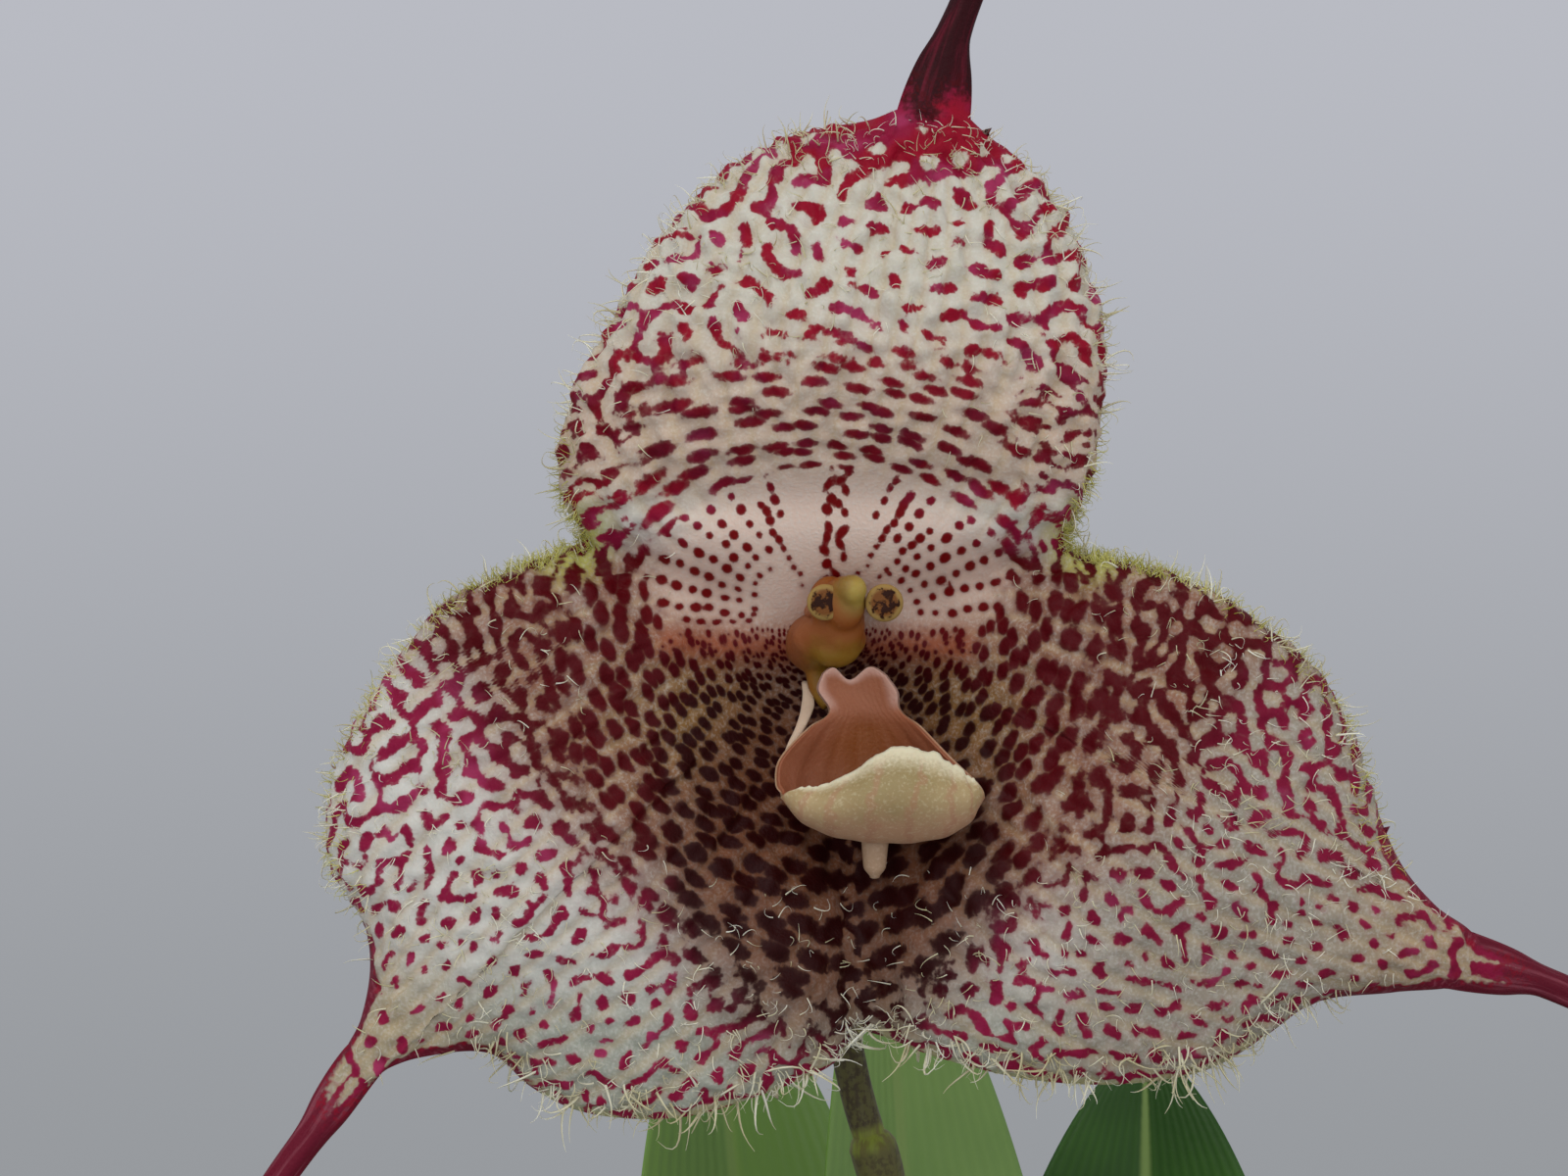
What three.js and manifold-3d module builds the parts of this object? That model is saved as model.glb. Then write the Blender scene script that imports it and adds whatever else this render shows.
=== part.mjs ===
// A potted dracula orchid with one open flower, in millimetres with +Z up.
// The origin is the centre of the pot's base, and the flower faces -Y.
// The flower has three sepals that are grown together into one shallow cup and end in long tails,
// two small petals beside the column, and a scoop-shaped lip hinged below it.
// The plant is a tuft of strap leaves, each on its own sheathed stem, in a clay pot of moss.
import * as THREE from "three";
import { mergeVertices } from "three/addons/utils/BufferGeometryUtils.js";
import Module from "manifold-3d";

const wasm = await Module();
wasm.setup();

const V2 = (x, y) => new THREE.Vector2(x, y);
const V3 = (x, y, z) => new THREE.Vector3(x, y, z);
const radians = THREE.MathUtils.degToRad;
const smooth = THREE.MathUtils.smoothstep;
const mix = THREE.MathUtils.lerp;

// Driving dimensions.
const GAP = 0.3; // clearance between two pieces that touch
const POT = {
  height: 82,
  baseRadius: 35,
  rimRadius: 52,
  rimHeight: 17,
  rimStep: 2.5,
  wall: 4,
  floor: 6,
  drainRadius: 4,
  drainCircle: 20,
  drains: 4,
  sides: 40,
};
const MOSS = { edge: 70, mound: 7, bump: 1.2, rings: 7, sides: 40 };
const FOOT = { depth: 62, radius: 1.5, sheath: 2.3, bore: 0.5, sides: 8 };
const LEAF = {
  thickness: 1.1,
  keel: 0.3, // how far its edges are lifted, as a share of the half width
  bladeFrom: 0.36, // where its stem widens into the blade
  tipBlunt: 0.65,
  tipHalf: 0.5,
  bends: 7,
  spread: 1.7,
  steps: 19,
  pace: 1.35,
};
const STALK = { radius: 1.25, pedicel: 1.0, ovary: 1.9, bract: 1.9, steps: 46, sides: 8 };
const SEPAL = { thickness: 0.9, rings: 12, sectors: 84, rollStart: 0.82, rollSpan: 0.095, lean: 2.5 };
const TAIL = { steps: 15, sides: 7, rootRadius: 1.05, endRadius: 0.42, rootFlare: 0.8 };
const FLOWER_AT = V3(-12, -45, 262); // in front of the column's foot, level with the sepals' face

// Solids.

function solidOf(geometry) {
  const bare = geometry.clone();
  bare.deleteAttribute("normal");
  bare.deleteAttribute("uv");
  const merged = mergeVertices(bare, 1e-4);
  return new wasm.Manifold(
    new wasm.Mesh({
      numProp: 3,
      vertProperties: merged.attributes.position.array,
      triVerts: new Uint32Array(merged.index.array),
    }),
  );
}

function geometryOf(solid) {
  const mesh = solid.getMesh();
  const geometry = new THREE.BufferGeometry();
  geometry.setAttribute("position", new THREE.BufferAttribute(mesh.vertProperties, 3));
  geometry.setIndex(new THREE.BufferAttribute(mesh.triVerts, 1));
  geometry.computeVertexNormals();
  return geometry;
}

function indexed(points, faces) {
  const geometry = new THREE.BufferGeometry().setFromPoints(points);
  geometry.setIndex(faces);
  return geometry;
}

// A closed skin through sections that all have the same number of points, with a fan at each end.
// Each section runs anticlockwise as seen from the loft's far end.
function loft(sections) {
  const n = sections[0].length;
  const points = sections.flat();
  const faces = [];
  for (let s = 0; s + 1 < sections.length; s++) {
    for (let i = 0; i < n; i++) {
      const a = s * n + i;
      const b = s * n + ((i + 1) % n);
      faces.push(a, b, b + n, a, b + n, a + n);
    }
  }
  for (const start of [0, (sections.length - 1) * n]) {
    const middle = V3(0, 0, 0);
    for (let i = 0; i < n; i++) middle.addScaledVector(points[start + i], 1 / n);
    const centre = points.push(middle) - 1;
    for (let i = 0; i < n; i++) {
      const a = start + i;
      const b = start + ((i + 1) % n);
      faces.push(...(start === 0 ? [b, a, centre] : [a, b, centre]));
    }
  }
  return indexed(points, faces);
}

// A section swept along a curve. shape(t) gives its half width, its half height and how far its
// two sides are lifted, side is the wanted direction of its width, and a pace over 1 gathers the
// steps towards the far end.
function sweep(curve, shape, steps, sides, side, pace = 1) {
  const sections = [];
  for (let s = 0; s <= steps; s++) {
    const t = 1 - (1 - s / steps) ** pace;
    const [width, height, lift] = shape(t);
    const along = curve.getTangentAt(t);
    const up = V3(0, 0, 0).crossVectors(along, side).normalize();
    const across = V3(0, 0, 0).crossVectors(up, along);
    const centre = curve.getPointAt(t);
    const section = [];
    for (let i = 0; i < sides; i++) {
      const turn = (2 * Math.PI * i) / sides;
      const c = Math.cos(turn);
      section.push(
        centre
          .clone()
          .addScaledVector(across, width * c)
          .addScaledVector(up, height * Math.sin(turn) + lift * Math.abs(c)),
      );
    }
    sections.push(section);
  }
  return loft(sections);
}

// A thin closed sheet over a disc: pointAt(r, j) gives its face for r from 0 to 1 and sector j.
// Its face is raised by lift, and its back lies a thickness behind that.
function sheet(pointAt, rings, sectors, thickness, lift = 0) {
  const step = 0.01;
  const middle = pointAt(0, 0);
  const front = [middle.clone().add(V3(0, 0, lift))];
  const back = [middle.clone().add(V3(0, 0, lift - thickness))];
  for (let i = 1; i <= rings; i++) {
    for (let j = 0; j < sectors; j++) {
      const r = i / rings;
      const here = pointAt(r, j);
      const outward = here.clone().sub(pointAt(r - step, j));
      const around = pointAt(r, (j + 1) % sectors).sub(pointAt(r, (j + sectors - 1) % sectors));
      const normal = outward.cross(around).normalize();
      front.push(here.clone().addScaledVector(normal, lift));
      back.push(here.clone().addScaledVector(normal, lift - thickness));
    }
  }
  const offset = front.length;
  const faces = [];
  const both = (a, b, c) => faces.push(a, b, c, offset + a, offset + c, offset + b);
  const at = (i, j) => 1 + (i - 1) * sectors + (j % sectors);
  for (let j = 0; j < sectors; j++) {
    both(0, at(1, j), at(1, j + 1));
    for (let i = 1; i < rings; i++) {
      both(at(i, j), at(i + 1, j), at(i + 1, j + 1));
      both(at(i, j), at(i + 1, j + 1), at(i, j + 1));
    }
    const a = at(rings, j);
    const b = at(rings, j + 1);
    faces.push(a, offset + a, offset + b, a, offset + b, b);
  }
  return indexed([...front, ...back], faces);
}

function ball(centre, radii, across = 10, up = 7) {
  const geometry = new THREE.SphereGeometry(1, across, up);
  geometry.scale(radii.x, radii.y, radii.z);
  geometry.translate(centre.x, centre.y, centre.z);
  return solidOf(geometry);
}

function named(name, geometry, colour, roughness = 0.6) {
  const material = new THREE.MeshStandardMaterial({ color: colour, roughness, metalness: 0 });
  const mesh = new THREE.Mesh(geometry, material);
  mesh.name = name;
  return mesh;
}

// The flower, in its own frame: x to the viewer's right, y up, z towards the viewer.

// The outline of the three joined sepals, anticlockwise from the notch on the viewer's right.
const DORSAL_MARGIN = [
  [13.9, 4.6], [15.1, 8.9], [15.7, 12.8], [15.8, 16.1], [15.0, 19.7], [13.6, 23.1], [11.4, 26.1],
  [8.9, 28.0], [7.2, 29.2], [4.4, 29.3], [2.5, 28.7], [-0.6, 28.3], [-4.2, 26.9], [-7.5, 24.3],
  [-10.1, 21.2], [-12.3, 17.2], [-14.1, 14.2], [-15.1, 10.8], [-15.2, 7.8], [-14.1, 4.9],
];
const LEFT_MARGIN = [
  [-15.6, 4.1], [-18.9, 2.8], [-21.9, 1.1], [-24.2, -1.4], [-26.4, -4.7], [-27.9, -7.8],
  [-28.6, -11.7], [-28.1, -14.2], [-26.6, -16.4], [-26.0, -19.4], [-26.4, -22.2], [-27.4, -24.6],
  [-26.4, -26.0], [-24.7, -24.9], [-22.8, -24.3], [-19.2, -24.2], [-16.9, -26.1], [-13.9, -27.5],
  [-8.3, -27.8], [-3.3, -26.4], [0.6, -24.7], [1.8, -23.3],
];
const RIGHT_MARGIN = [
  [3.1, -23.4], [6.1, -24.4], [11.1, -25.6], [16.7, -25.9], [21.7, -25.1], [25.0, -23.3],
  [27.8, -21.5], [32.2, -20.8], [36.2, -20.0], [36.6, -17.6], [34.4, -15.8], [32.6, -13.6],
  [31.3, -10.3], [30.0, -6.4], [28.3, -3.1], [25.0, 0.0], [20.6, 2.6], [16.1, 3.8],
];
const SPREAD = 1.015; // the margin lies a little behind the plane that its outline is drawn in
const margin = new THREE.CatmullRomCurve3(
  [...DORSAL_MARGIN, ...LEFT_MARGIN, ...RIGHT_MARGIN].map(([x, y]) => V3(SPREAD * x, SPREAD * y, 0)),
  true,
  "centripetal",
);

// How the face stands away from its plane: the hollow of the cup, the swollen lobes, and the
// creases and ridges, each from one place to another.
const HOLLOW = { x: 1, y: -5, across: 11.5, up: 9.5, height: -9.5 };
const SWELLS = [
  { x: 0.5, y: 16.5, across: 11, up: 8.5, height: 3.4 },
  { x: -15.5, y: -13, across: 8.5, up: 8.5, height: 2.6 },
  { x: 16.5, y: -13.5, across: 9.5, up: 8.5, height: 2.6 },
];
const FOLDS = [
  { from: [-2.2, -1.4], to: [-8.5, -0.9], width: 1.3, height: 0.9 },
  { from: [2.4, -1.2], to: [7.5, -1.2], width: 1.2, height: 0.8 },
  { from: [-7, 1], to: [-14.4, 4.6], width: 2.3, height: -2.2 },
  { from: [7, 1], to: [14.2, 4.8], width: 2.3, height: -2.2 },
  { from: [1.7, -13], to: [2, -23.4], width: 2.4, height: -2.6 },
  { from: [-9, 7.2], to: [9.5, 7.6], width: 1.7, height: -0.8 },
  { from: [0.4, 10], to: [4, 26], width: 0.8, height: -0.5 },
];

const mound = (x, y, m) => m.height * Math.exp(-(((x - m.x) / m.across) ** 2) - ((y - m.y) / m.up) ** 2);

function foldHeight(x, y, { from, to, width, height }) {
  const [dx, dy] = [to[0] - from[0], to[1] - from[1]];
  const t = THREE.MathUtils.clamp(((x - from[0]) * dx + (y - from[1]) * dy) / (dx * dx + dy * dy), 0, 1);
  const away = Math.hypot(x - from[0] - t * dx, y - from[1] - t * dy);
  return height * Math.exp(-((away / width) ** 2));
}

function faceHeight(x, y) {
  let height = mound(x, y, HOLLOW);
  for (const swell of SWELLS) height += mound(x, y, swell);
  for (const fold of FOLDS) height += foldHeight(x, y, fold);
  return height;
}

// How far the margin is rolled back, in degrees, by its angle round the column: all of it by ROLL,
// less towards each of these angles, over that many degrees to either side.
const ROLL = 110;
const FLATTER = [
  { angle: 79, reach: 14, by: 82 },
  { angle: 223.5, reach: 12, by: 80 },
  { angle: 333, reach: 12, by: 80 },
  { angle: 250, reach: 34, by: 60 },
  { angle: 300, reach: 34, by: 60 },
  { angle: 274.5, reach: 18, by: 30 },
];

function rollAt(angle) {
  let roll = ROLL;
  for (const flat of FLATTER) {
    const away = Math.abs(((angle - flat.angle + 540) % 360) - 180);
    roll -= flat.by * (1 - smooth(away, 0, flat.reach));
  }
  return radians(Math.max(roll, 15));
}

// A point of the sepals' face: edge is the margin's point on its ray, and r runs from the column to it.
function sepalPoint(edge, r) {
  const angle = (THREE.MathUtils.radToDeg(Math.atan2(edge.y, edge.x)) + 360) % 360;
  const roll = rollAt(angle);
  const q = Math.max(0, (r - SEPAL.rollStart) / (1 - SEPAL.rollStart));
  const flat = (1 - SEPAL.rollSpan) * (Math.min(r, SEPAL.rollStart) / SEPAL.rollStart);
  const widest = Math.sin(Math.min(roll, Math.PI / 2));
  const s = flat + (SEPAL.rollSpan * Math.sin(q * roll)) / widest;
  const fall = SEPAL.rollSpan * Math.hypot(edge.x, edge.y) * (1 - Math.cos(q * roll)) + SEPAL.lean * s * s;
  return V3(s * edge.x, s * edge.y, faceHeight(s * edge.x, s * edge.y) - fall);
}

// The tails' paths from their roots in the sepals. The third number is how far a point stands
// towards the viewer, counted from the root's own depth.
const TAIL_PATHS = {
  dorsal: [[5.0, 26.6, 0], [5.9, 30.2, -0.3], [7.1, 33.6, -0.7], [8.6, 37.5, -1.0],
    [11.6, 47, -1], [13.4, 58, -4], [12.6, 70, -8], [9.0, 81, -11]],
  left: [[-24.0, -22.6, 0], [-26.9, -25.4, -0.3], [-29.1, -28.4, -0.7], [-31.6, -31.8, -1.0],
    [-37, -40, -2], [-42, -51, -4], [-45, -63, -4], [-45.5, -75, -1]],
  right: [[32.6, -17.2, 0], [36.6, -18.8, -0.3], [39.4, -19.8, -0.7], [42.4, -21.0, -1.0],
    [50, -24.6, -1], [60, -31, -3], [69.5, -39.5, -5], [76.5, -50, -5]],
};

function tailSolid(path) {
  const [rootX, rootY] = path[0];
  const depth = faceHeight(rootX, rootY) - SEPAL.lean - TAIL.rootRadius;
  const curve = new THREE.CatmullRomCurve3(path.map(([x, y, z]) => V3(x, y, depth + z)));
  const shape = (t) => {
    const flare = 1 - smooth(t, 0.02, 0.17);
    const round = mix(TAIL.rootRadius, TAIL.endRadius, t ** 0.8);
    return [round + TAIL.rootFlare * flare, round * (1 - 0.35 * flare), 0];
  };
  const across = V3(rootY - path[2][1], path[2][0] - rootX, 0).normalize();
  return solidOf(sweep(curve, shape, TAIL.steps, TAIL.sides, across));
}

const edges = Array.from({ length: SEPAL.sectors }, (_, j) => margin.getPointAt(j / SEPAL.sectors));
const sepalSheet = (thickness, lift) =>
  solidOf(sheet((r, j) => sepalPoint(edges[j], r), SEPAL.rings, SEPAL.sectors, thickness, lift));

function sepals() {
  let solid = sepalSheet(SEPAL.thickness, 0);
  for (const path of Object.values(TAIL_PATHS)) solid = solid.add(tailSolid(path));
  return named("sepals", geometryOf(solid), 0xb58a8c, 0.55);
}

// What stands on the face or carries it from behind is cut back to leave the clearance.
const frontCut = sepalSheet(6, GAP);
const backCut = sepalSheet(6, 6 - SEPAL.thickness - GAP);

const COLUMN = {
  path: [[-0.6, -1.1, -9], [-0.4, -0.8, -6], [0.1, -0.3, -4.4], [0.9, 0.7, -3.2], [1.45, 1.7, -2.6]],
  halfWidth: [2.1, 0.5], // at the foot and at the tip
  cap: { at: [1.45, 2.3, -1.9], radii: [0.95, 0.95, 0.95] },
  foot: [[-0.5, -2.0, -6.8], [-0.5, -3.4, -6.9], [0.2, -4.7, -6.6]],
  footRadius: 0.75,
};
const PETALS = {
  petal_left: {
    path: [[-2.8, 1.7, -9], [-2.2, 1.8, -5.4], [-1.2, 1.7, -3.4]],
    face: [-0.65, 1.4, -2.6],
    radius: 1.0,
  },
  petal_right: {
    path: [[2.9, 1.0, -9], [3.1, 1.2, -5.4], [3.3, 1.4, -3.4]],
    face: [3.55, 1.4, -2.6],
    radius: 1.1,
  },
};
const PETAL_STEM = { root: 0.35, top: 0.6 };
const ACROSS = V3(1, 0, 0.01); // the wanted direction of a stem's width
const curveThrough = (points) => new THREE.CatmullRomCurve3(points.map(([x, y, z]) => V3(x, y, z)));

function column() {
  const [wide, narrow] = COLUMN.halfWidth;
  const girth = (t) => mix(wide, narrow, smooth(t, 0.15, 1));
  const post = sweep(curveThrough(COLUMN.path), (t) => [girth(t), 0.92 * girth(t), 0], 8, 12, ACROSS);
  const taper = (t) => COLUMN.footRadius * (1 - 0.25 * t);
  const foot = sweep(curveThrough(COLUMN.foot), (t) => [taper(t), taper(t), 0], 4, 8, ACROSS);
  const solid = solidOf(post)
    .add(solidOf(foot))
    .add(ball(V3(...COLUMN.cap.at), V3(...COLUMN.cap.radii)))
    .subtract(frontCut);
  return named("column", geometryOf(solid), 0xa9703a, 0.5);
}

function petal(name, { path, face, radius }) {
  const girth = (t) => mix(PETAL_STEM.root, PETAL_STEM.top, t);
  const stem = sweep(curveThrough([...path, face]), (t) => [girth(t), girth(t), 0], 5, 8, ACROSS);
  const solid = solidOf(stem)
    .add(ball(V3(...face), V3(radius, radius, 0.5 * radius)))
    .subtract(frontCut);
  return named(name, geometryOf(solid), 0xcdb489, 0.5);
}

// The lip's inner face: rows from the neck, down the back of the scoop, under and up its front wall.
const LIP_ROWS = [
  [[0.5, -4.8, -4.1], [1.4, -4.8, -4.4], [2.3, -4.8, -4.5], [3.2, -4.8, -4.4], [4.1, -4.6, -4.1]],
  [[-0.9, -5.8, -3.2], [0.6, -6.1, -4.4], [2.3, -6.2, -4.9], [4.0, -6.1, -4.4], [5.2, -5.8, -3.1]],
  [[-2.7, -7.8, -2.0], [-0.3, -8.4, -4.2], [2.6, -8.7, -4.8], [5.1, -8.4, -4.2], [7.0, -7.7, -1.9]],
  [[-2.8, -8.9, -1.5], [-0.6, -10.5, -3.0], [2.9, -11.1, -3.4], [6.4, -10.6, -2.9], [8.6, -9.2, -1.1]],
  [[-2.6, -9.2, -1.1], [-0.5, -11.0, -1.4], [3.3, -11.7, -1.3], [6.9, -11.2, -1.1], [8.7, -9.5, -0.6]],
  [[-2.6, -9.3, -0.8], [-0.5, -10.1, 0.4], [3.6, -9.7, 1.4], [7.1, -9.9, 0.8], [8.7, -9.4, -0.2]],
  [[-2.4, -9.2, -0.6], [0.7, -8.3, 0.0], [4.2, -6.9, 0.3], [7.1, -7.8, 0.2], [8.6, -9.1, -0.1]],
];
const LIP = {
  thickness: 0.65,
  across: 12,
  down: 14,
  lobes: [
    { at: [0.45, -3.9, -4.3], radii: [0.85, 1.6, 0.45] },
    { at: [3.1, -4.0, -4.35], radii: [1.05, 1.4, 0.45] },
  ],
  claw: [[2.2, -5.2, -5.2], [1.6, -4.9, -5.7], [1.15, -4.8, -6.2]],
  clawRadius: 0.45,
  tongue: [[2.9, -11.0, -2.5], [2.9, -13.0, -2.8], [2.9, -14.4, -3.1]],
  tongueHalf: [0.75, 0.38],
};

function lip() {
  const rows = LIP_ROWS.map((row) => curveThrough(row));
  const grid = [];
  for (let i = 0; i <= LIP.across; i++) {
    const line = curveThrough(rows.map((row) => row.getPoint(i / LIP.across).toArray()));
    grid.push(Array.from({ length: LIP.down + 1 }, (_, k) => line.getPoint(k / LIP.down)));
  }
  const clamp = (value, top) => Math.min(Math.max(value, 0), top);
  const inner = [];
  const outer = [];
  for (let i = 0; i <= LIP.across; i++) {
    for (let k = 0; k <= LIP.down; k++) {
      const across = grid[clamp(i + 1, LIP.across)][k].clone().sub(grid[clamp(i - 1, LIP.across)][k]);
      const down = grid[i][clamp(k + 1, LIP.down)].clone().sub(grid[i][clamp(k - 1, LIP.down)]);
      const out = across.cross(down).normalize();
      inner.push(grid[i][k]);
      outer.push(grid[i][k].clone().addScaledVector(out, LIP.thickness));
    }
  }
  const offset = inner.length;
  const at = (i, k) => i * (LIP.down + 1) + k;
  const faces = [];
  const quad = (a, b, c, d) => faces.push(a, b, c, a, c, d);
  for (let i = 0; i < LIP.across; i++) {
    for (let k = 0; k < LIP.down; k++) {
      quad(at(i, k), at(i, k + 1), at(i + 1, k + 1), at(i + 1, k));
      quad(offset + at(i, k), offset + at(i + 1, k), offset + at(i + 1, k + 1), offset + at(i, k + 1));
    }
    quad(at(i, 0), at(i + 1, 0), offset + at(i + 1, 0), offset + at(i, 0));
    const rim = at(i, LIP.down);
    const next = at(i + 1, LIP.down);
    quad(next, rim, offset + rim, offset + next);
  }
  for (let k = 0; k < LIP.down; k++) {
    const left = at(0, k);
    const right = at(LIP.across, k);
    quad(left + 1, left, offset + left, offset + left + 1);
    quad(right, right + 1, offset + right + 1, offset + right);
  }
  let solid = solidOf(indexed([...inner, ...outer], faces));
  for (const { at: place, radii } of LIP.lobes) solid = solid.add(ball(V3(...place), V3(...radii), 10, 6));
  const claw = sweep(curveThrough(LIP.claw), () => [LIP.clawRadius, LIP.clawRadius, 0], 4, 7, ACROSS);
  const [wide, narrow] = LIP.tongueHalf;
  const tongue = sweep(curveThrough(LIP.tongue), (t) => [mix(wide, narrow, t), narrow, 0], 4, 8, ACROSS);
  solid = solid.add(solidOf(claw)).add(solidOf(tongue));
  return named("lip", geometryOf(solid), 0xe0cfa4, 0.45);
}

// The stalk, with its joints, the pedicel above the last of them, and the ovary behind the cup.
const STALK_PATH = [
  [8, -9, FOOT.depth], [8, -9, 74], [8.2, -10, 90], [6, -15.5, 140], [0.5, -21.5, 185], [-5.6, -26, 216],
  [-8.6, -27.8, 228.5], [-10.3, -28.2, 234.5], [-11.6, -28.4, 243], [-11.8, -30, 251],
  [-11.6, -34, 256.2], [-11.3, -39, 257.5],
];
const BRACTS = [
  { at: 0.3, length: 0.05 },
  { at: 0.58, length: 0.05 },
  { at: 0.808, length: 0.035 },
];

function flowerStalk() {
  const curve = curveThrough(STALK_PATH);
  const shape = (t) => {
    let radius = mix(STALK.radius, STALK.pedicel, smooth(t, 0.79, 0.84));
    for (const { at, length } of BRACTS) {
      const along = (t - at) / length;
      if (along > 0 && along < 1) radius = mix(STALK.radius + 0.15, STALK.bract, along);
    }
    radius = mix(radius, STALK.ovary, smooth(t, 0.89, 0.955));
    return [radius, radius, 0];
  };
  const skin = sweep(curve, shape, STALK.steps, STALK.sides, ACROSS);
  const cut = backCut.rotate([90, 0, 0]).translate(FLOWER_AT.toArray());
  return named("flower_stalk", geometryOf(solidOf(skin).subtract(cut)), 0x5d5a2c, 0.6);
}

// Leaves: where each stands in the moss, where its tip is, how far its middle is pushed out sideways
// from the straight line between them, and its greatest width.
const LEAVES = [
  { foot: [7, 11], tip: [12.5, 37, 230], bow: [5, 9], width: 31 },
  { foot: [0, 4], tip: [-8, 13, 243], bow: [-2, 4], width: 27 },
  { foot: [-8, 9], tip: [-20, 27, 238], bow: [-4, 8], width: 29 },
  { foot: [-15, 3], tip: [-70, 12, 190], bow: [-7, 2], width: 29 },
  { foot: [15, 1], tip: [69, -2, 186], bow: [7, 0], width: 30 },
  { foot: [3, 18], tip: [13, 72, 202], bow: [1, 7], width: 29 },
  { foot: [-10, 16], tip: [-46, 58, 195], bow: [-4, 6], width: 28 },
  { foot: [14, 13], tip: [53, 52, 184], bow: [5, 5], width: 28 },
  { foot: [18, -8], tip: [55, -40, 158], bow: [6, -5], width: 27 },
  { foot: [-16, -10], tip: [-48, -48, 150], bow: [-6, -6], width: 27 },
  { foot: [0, -17], tip: [9, -70, 136], bow: [1, -8], width: 25 },
  { foot: [-17, -3], tip: [-62, -22, 132], bow: [-6, -2], width: 22 },
  { foot: [21, 5], tip: [64, 30, 134], bow: [6, 3], width: 23 },
];

// A leaf rises straight out of its hole and then arches over: more so the further it spreads.
function leafCurve({ foot, tip, bow }) {
  const [x, y] = foot;
  const clear = FOOT.depth + 20;
  const rise = tip[2] - clear;
  const droop = mix(0.05, 0.62, smooth(Math.hypot(tip[0] - x, tip[1] - y) / rise, 0.25, 0.95));
  const points = [
    [x, y, FOOT.depth],
    [x, y, FOOT.depth + 9],
    [x, y, clear],
  ];
  for (let i = 1; i <= LEAF.bends; i++) {
    const s = i / LEAF.bends;
    const out = s ** LEAF.spread;
    const push = 0.3 * Math.sin(Math.PI * out);
    const up = clear + rise * ((1 + droop) * s - droop * s ** 3);
    points.push([mix(x, tip[0], out) + push * bow[0], mix(y, tip[1], out) + push * bow[1], up]);
  }
  return curveThrough(points);
}

function leafShape(t, width) {
  const blade = THREE.MathUtils.clamp((t - LEAF.bladeFrom) / (1 - LEAF.bladeFrom), 0, 1);
  const outline = smooth(blade, -0.02, 0.62) * (1 - Math.max(0, 2 * blade - 1) ** 2) ** LEAF.tipBlunt;
  const half = Math.max(mix(FOOT.radius, LEAF.tipHalf, smooth(t, 0.9, 1)), 0.5 * width * outline);
  const flat = smooth(blade, 0, 0.14);
  const swell = (FOOT.sheath - FOOT.radius) * (1 - smooth(t, 0.2, 0.25));
  const height = mix(FOOT.radius + swell, 0.5 * LEAF.thickness, flat);
  return [half + swell, height, LEAF.keel * (half - LEAF.tipHalf) * flat];
}

function leaf(entry, index) {
  const curve = leafCurve(entry);
  const outward = V3(entry.tip[0] - entry.foot[0], entry.tip[1] - entry.foot[1], 0).normalize();
  const side = V3(-outward.y, outward.x, 0.01);
  const skin = sweep(curve, (t) => leafShape(t, entry.width), LEAF.steps, FOOT.sides, side, LEAF.pace);
  return named(`leaf_${String(index + 1).padStart(2, "0")}`, skin, 0x4c7d33, 0.5);
}

// The medium: a low mound of moss with a lumpy top, and a plain hole for each stem.
function medium() {
  const broad = (x, y) => Math.sin(x * 0.33 + 1) * Math.cos(y * 0.29 - 0.6);
  const lumps = (x, y) => broad(x, y) + 0.6 * Math.sin(x * 0.61 - y * 0.53);
  const inside = (z) => innerRadius(z) - GAP;
  const low = POT.floor + GAP;
  const sections = [];
  const ring = (radius, heightAt) =>
    Array.from({ length: MOSS.sides }, (_, i) => {
      const turn = (2 * Math.PI * i) / MOSS.sides;
      const [x, y] = [radius * Math.cos(turn), radius * Math.sin(turn)];
      return V3(x, y, heightAt(x, y));
    });
  sections.push(ring(inside(low), () => low));
  sections.push(ring(inside(MOSS.edge), () => MOSS.edge));
  for (let i = MOSS.rings; i > 0; i--) {
    const radius = inside(MOSS.edge) * (i / (MOSS.rings + 0.7));
    const rise = MOSS.mound * (1 - (radius / inside(MOSS.edge)) ** 2);
    sections.push(ring(radius, (x, y) => MOSS.edge + rise + MOSS.bump * lumps(x, y)));
  }
  let solid = solidOf(loft(sections));
  const stems = LEAVES.map(({ foot }) => [foot, FOOT.sheath]);
  stems.push([STALK_PATH[0], STALK.radius]);
  for (const [[x, y], radius] of stems) {
    const depth = MOSS.edge + 2 * MOSS.mound - FOOT.depth;
    const bore = new THREE.CylinderGeometry(radius + FOOT.bore, radius + FOOT.bore, depth, FOOT.sides);
    bore.rotateX(Math.PI / 2);
    bore.translate(x, y, FOOT.depth - GAP + depth / 2);
    solid = solid.subtract(solidOf(bore));
  }
  return named("growing_medium", geometryOf(solid), 0x6b5a32, 0.95);
}

// The pot: a plain tapering clay pot with a collar, and drain holes round a solid centre.
function outerRadius(z) {
  const neck = POT.rimRadius - POT.rimStep - 1;
  return mix(POT.baseRadius, neck, z / (POT.height - POT.rimHeight));
}

const innerRadius = (z) => outerRadius(Math.min(z, POT.height - POT.rimHeight)) - POT.wall;

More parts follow.
